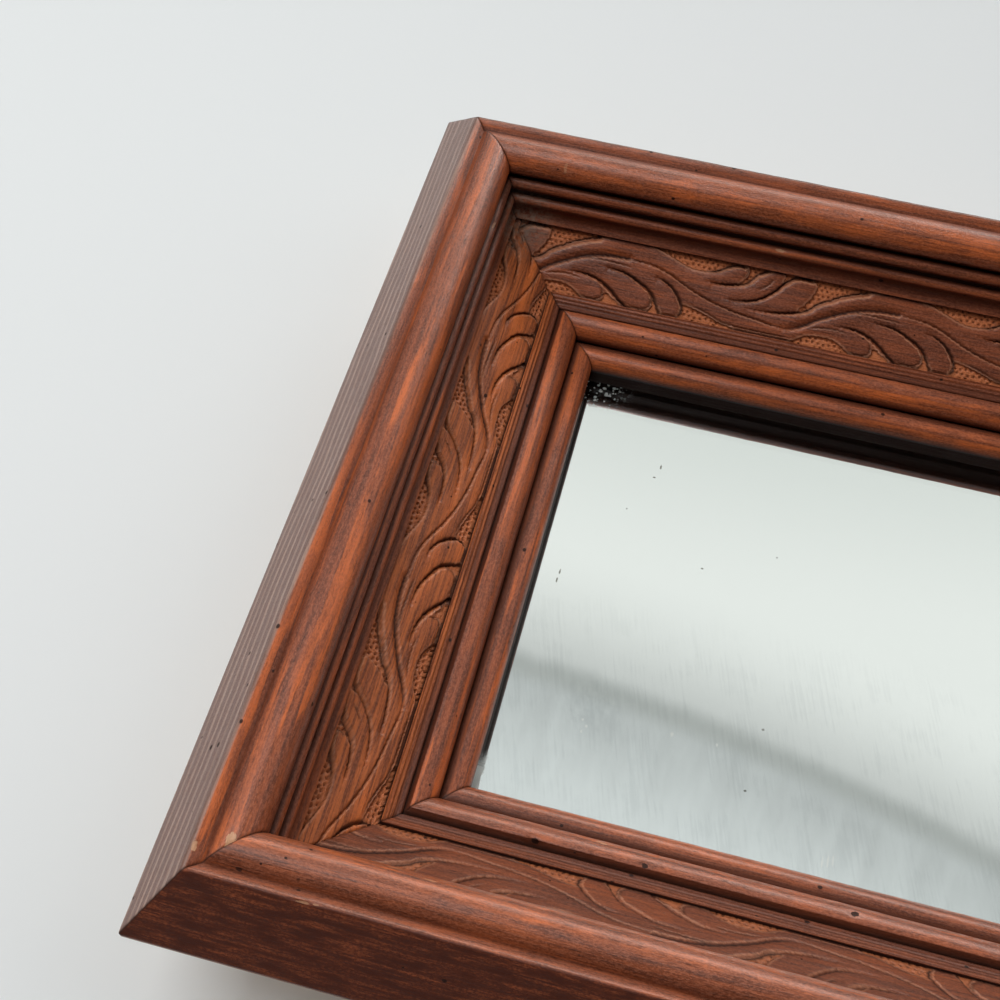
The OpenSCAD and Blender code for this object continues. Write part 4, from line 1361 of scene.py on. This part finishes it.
fitting("bent_v_nails", "corner_v_nails", "frame", zinc, all_nails(), 30)


# The hangers
# Each strap is one strip, rounded at its foot and rolled round the ring's pin at its head, with two
# pan-head screws. The ring swings in the roll.
ROLL_TURN = math.radians(305)
STRAP_T = 1.0
STRAP_ARRIS = 0.25
RING_CORNER = 1.3
WIRE_SIDES = 20
HEAD_H = 1.9
HEAD_R = 3.25
CROSS_R, CROSS_HALF, CROSS_DEEP = 1.8, 0.42, 1.1


def strap_points(low, high):
    """A rounded strip section along a path: straight up the land, then a circle round the pin.

    Near the foot its half width is sqrt(2 r d - d^2), with r half the full width and d the way from the end.
    """
    width, roll_r = high.x - low.x, (high.y - low.y - STRAP_T) / 2
    pin_y, pin_z = (low.y + high.y) / 2, high.z - roll_r - STRAP_T / 2
    straight = pin_z - low.z
    foot = (1 - np.cos(np.linspace(0.12, math.pi / 2, 9))) * width / 2
    rolled = straight + np.linspace(0, ROLL_TURN, 30)[1:] * roll_r
    way = np.concatenate([foot, np.linspace(width / 2, straight, 8)[1:], rolled])
    turn = np.clip((way - straight) / roll_r, 0, None)
    y = pin_y - roll_r * np.cos(turn)
    z = np.minimum(low.z + way, pin_z) + roll_r * np.sin(turn)
    away = np.clip(width / 2 - way, 0, None)
    half = np.sqrt((width / 2) ** 2 - away ** 2)
    edge, thick = STRAP_ARRIS, STRAP_T / 2
    across = np.array([(1, thick), (1, thick - edge), (1, edge - thick), (1, -thick),
                       (-1, -thick), (-1, edge - thick), (-1, thick - edge), (-1, thick)])
    inset = np.array([edge, 0, 0, edge, edge, 0, 0, edge])
    x = across[:, 0] * (half[:, None] - inset) + (low.x + high.x) / 2
    y = y[:, None] + across[:, 1] * np.cos(turn)[:, None]
    z = z[:, None] - across[:, 1] * np.sin(turn)[:, None]
    return np.stack([x, y, z], -1)


def ring_points(low, high):
    """Round wire along a closed D: a straight pin, two arms, and a half circle below them."""
    wire_r = (high.y - low.y) / 2
    bow_r = (high.x - low.x) / 2 - wire_r
    arm = high.z - low.z - 2 * wire_r - bow_r
    pin_y, pin_z, middle = (low.y + high.y) / 2, high.z - wire_r, (low.x + high.x) / 2
    corner = RING_CORNER
    plan = np.concatenate([
        lines((corner - bow_r, 0), (bow_r - corner, 0), step=2.0),
        arc((bow_r - corner, -corner), corner, 90, 0, 0.3),
        lines((bow_r, -corner), (bow_r, -arm), step=1.2),
        arc((0, -arm), bow_r, 0, -180, 0.7),
        lines((-bow_r, -arm), (-bow_r, -corner), step=1.2),
        arc((corner - bow_r, -corner), corner, 180, 90, 0.3),
    ])
    outward = outline_normals(plan)
    angle = np.linspace(0, 2 * math.pi, WIRE_SIDES, endpoint=False)
    flat = plan[:, None] + wire_r * np.cos(angle)[:, None] * outward[:, None]
    y = np.broadcast_to(pin_y + wire_r * np.sin(angle), flat.shape[:2])
    return np.stack([middle + flat[..., 0], y, pin_z + flat[..., 1]], -1)


def screw_points(x, top_y, z, length):
    """A turned pan-head screw with a cross sunk in its head: rings of (radius, depth below its top)."""
    crown = [(r, 0.03 * r ** 2) for r in (0.05, 0.2, 0.35, 0.5, 0.7, 0.9, 1.1, 1.3, 1.5, 1.7, 1.9, 2.2)]
    side = [(2.6, 0.32), (2.95, 0.7), (3.15, 1.15), (HEAD_R, 1.6), (HEAD_R, HEAD_H), (1.6, HEAD_H)]
    thread = [(1.28 + 0.32 * (k % 2), HEAD_H + 1.0 + 0.5 * k) for k in range(round((length - 4.0) / 0.5))]
    profile = crown + side + thread + [(0.3, HEAD_H + length - 0.3)]
    rings = turned([(radius, -depth) for radius, depth in profile], 48)
    arm = np.minimum(np.abs(rings[..., 0]), np.abs(rings[..., 2])) < CROSS_HALF
    reach = np.hypot(rings[..., 0], rings[..., 2])
    rings[..., 1] -= np.where(arm & (reach < CROSS_R), CROSS_DEEP * (1 - 0.5 * reach / CROSS_R), 0)
    return rings + (x, top_y, z)


def screw_pair(low, high):
    """Two screws, at the upper and the lower end of the CAD screws' box."""
    head_r = (high.x - low.x) / 2
    length = high.y - low.y - HEAD_H
    heights = (high.z - head_r, low.z + head_r)
    return [sheet(screw_points((low.x + high.x) / 2, high.y, z, length)) for z in heights]


for side in ("left", "right"):
    strap = sheet(strap_points(*cad_corners(f"{side}_hanger_strap")))
    fitting(f"{side}_rolled_strap", f"{side}_hanger_strap", "frame", brass, [strap])
    wire = sheet(ring_points(*cad_corners(f"{side}_hanger_ring")), closed_rows=True)
    fitting(f"{side}_wire_ring", f"{side}_hanger_ring", f"{side}_ring", brass, [wire])
    pair = screw_pair(*cad_corners(f"{side}_hanger_screws"))
    fitting(f"{side}_pan_head_screws", f"{side}_hanger_screws", "frame", brass, pair, 30)


# The bumpers
# Two rubber domes keep the lower edge off the wall.
RUBBER = (0.035, 0.034, 0.033, 1.0)
RUBBER_DUST = (0.16, 0.15, 0.14, 1.0)


def rubber_material():
    """Dark matt rubber, with lint and a grey bloom."""
    material, place = blank_material("bumper_rubber")
    bloom = drawn_out(place, (0.002, 0.002, 0.002), 5.0, 0.7)
    grain = drawn_out(place, (0.0002, 0.0002, 0.0002))
    lint = rise(drawn_out(place, (0.0016, 0.0002, 0.0004), 1.0), 0.66, 0.7)
    colour = layered(RUBBER, (rise(bloom, 0.42, 0.72), RUBBER_DUST), (lint * 0.6, RUBBER_DUST))
    return finished(material, {"Base Color": colour, "Roughness": bloom * 0.4 + 0.55}, grain, 0.4, 0.00005)


def bumper_parts():
    """Two domes: a flat foot, a short straight side, then a quarter ellipse up to a flat top."""
    low, high = cad_corners("wall_bumpers")
    radius, height = (high.z - low.z) / 2, high.y - low.y
    foot = [(0.1, 0), (radius - 0.3, 0), (radius, 0.2), (radius, height * 0.3)]
    swell = [(radius * (0.45 + 0.55 * math.cos(a)), height * (0.3 + 0.7 * math.sin(a)))
             for a in np.linspace(0, math.pi / 2, 12)[1:]]
    dome = turned(foot + swell + [(0.1, height)])
    return [sheet(dome + (x, low.y, low.z + radius)) for x in (low.x + radius, high.x - radius)]


fitting("domed_bumpers", "wall_bumpers", "frame", rubber_material(), bumper_parts(), 35)

view = bpy.context.scene.view_settings
view.view_transform = "Standard"
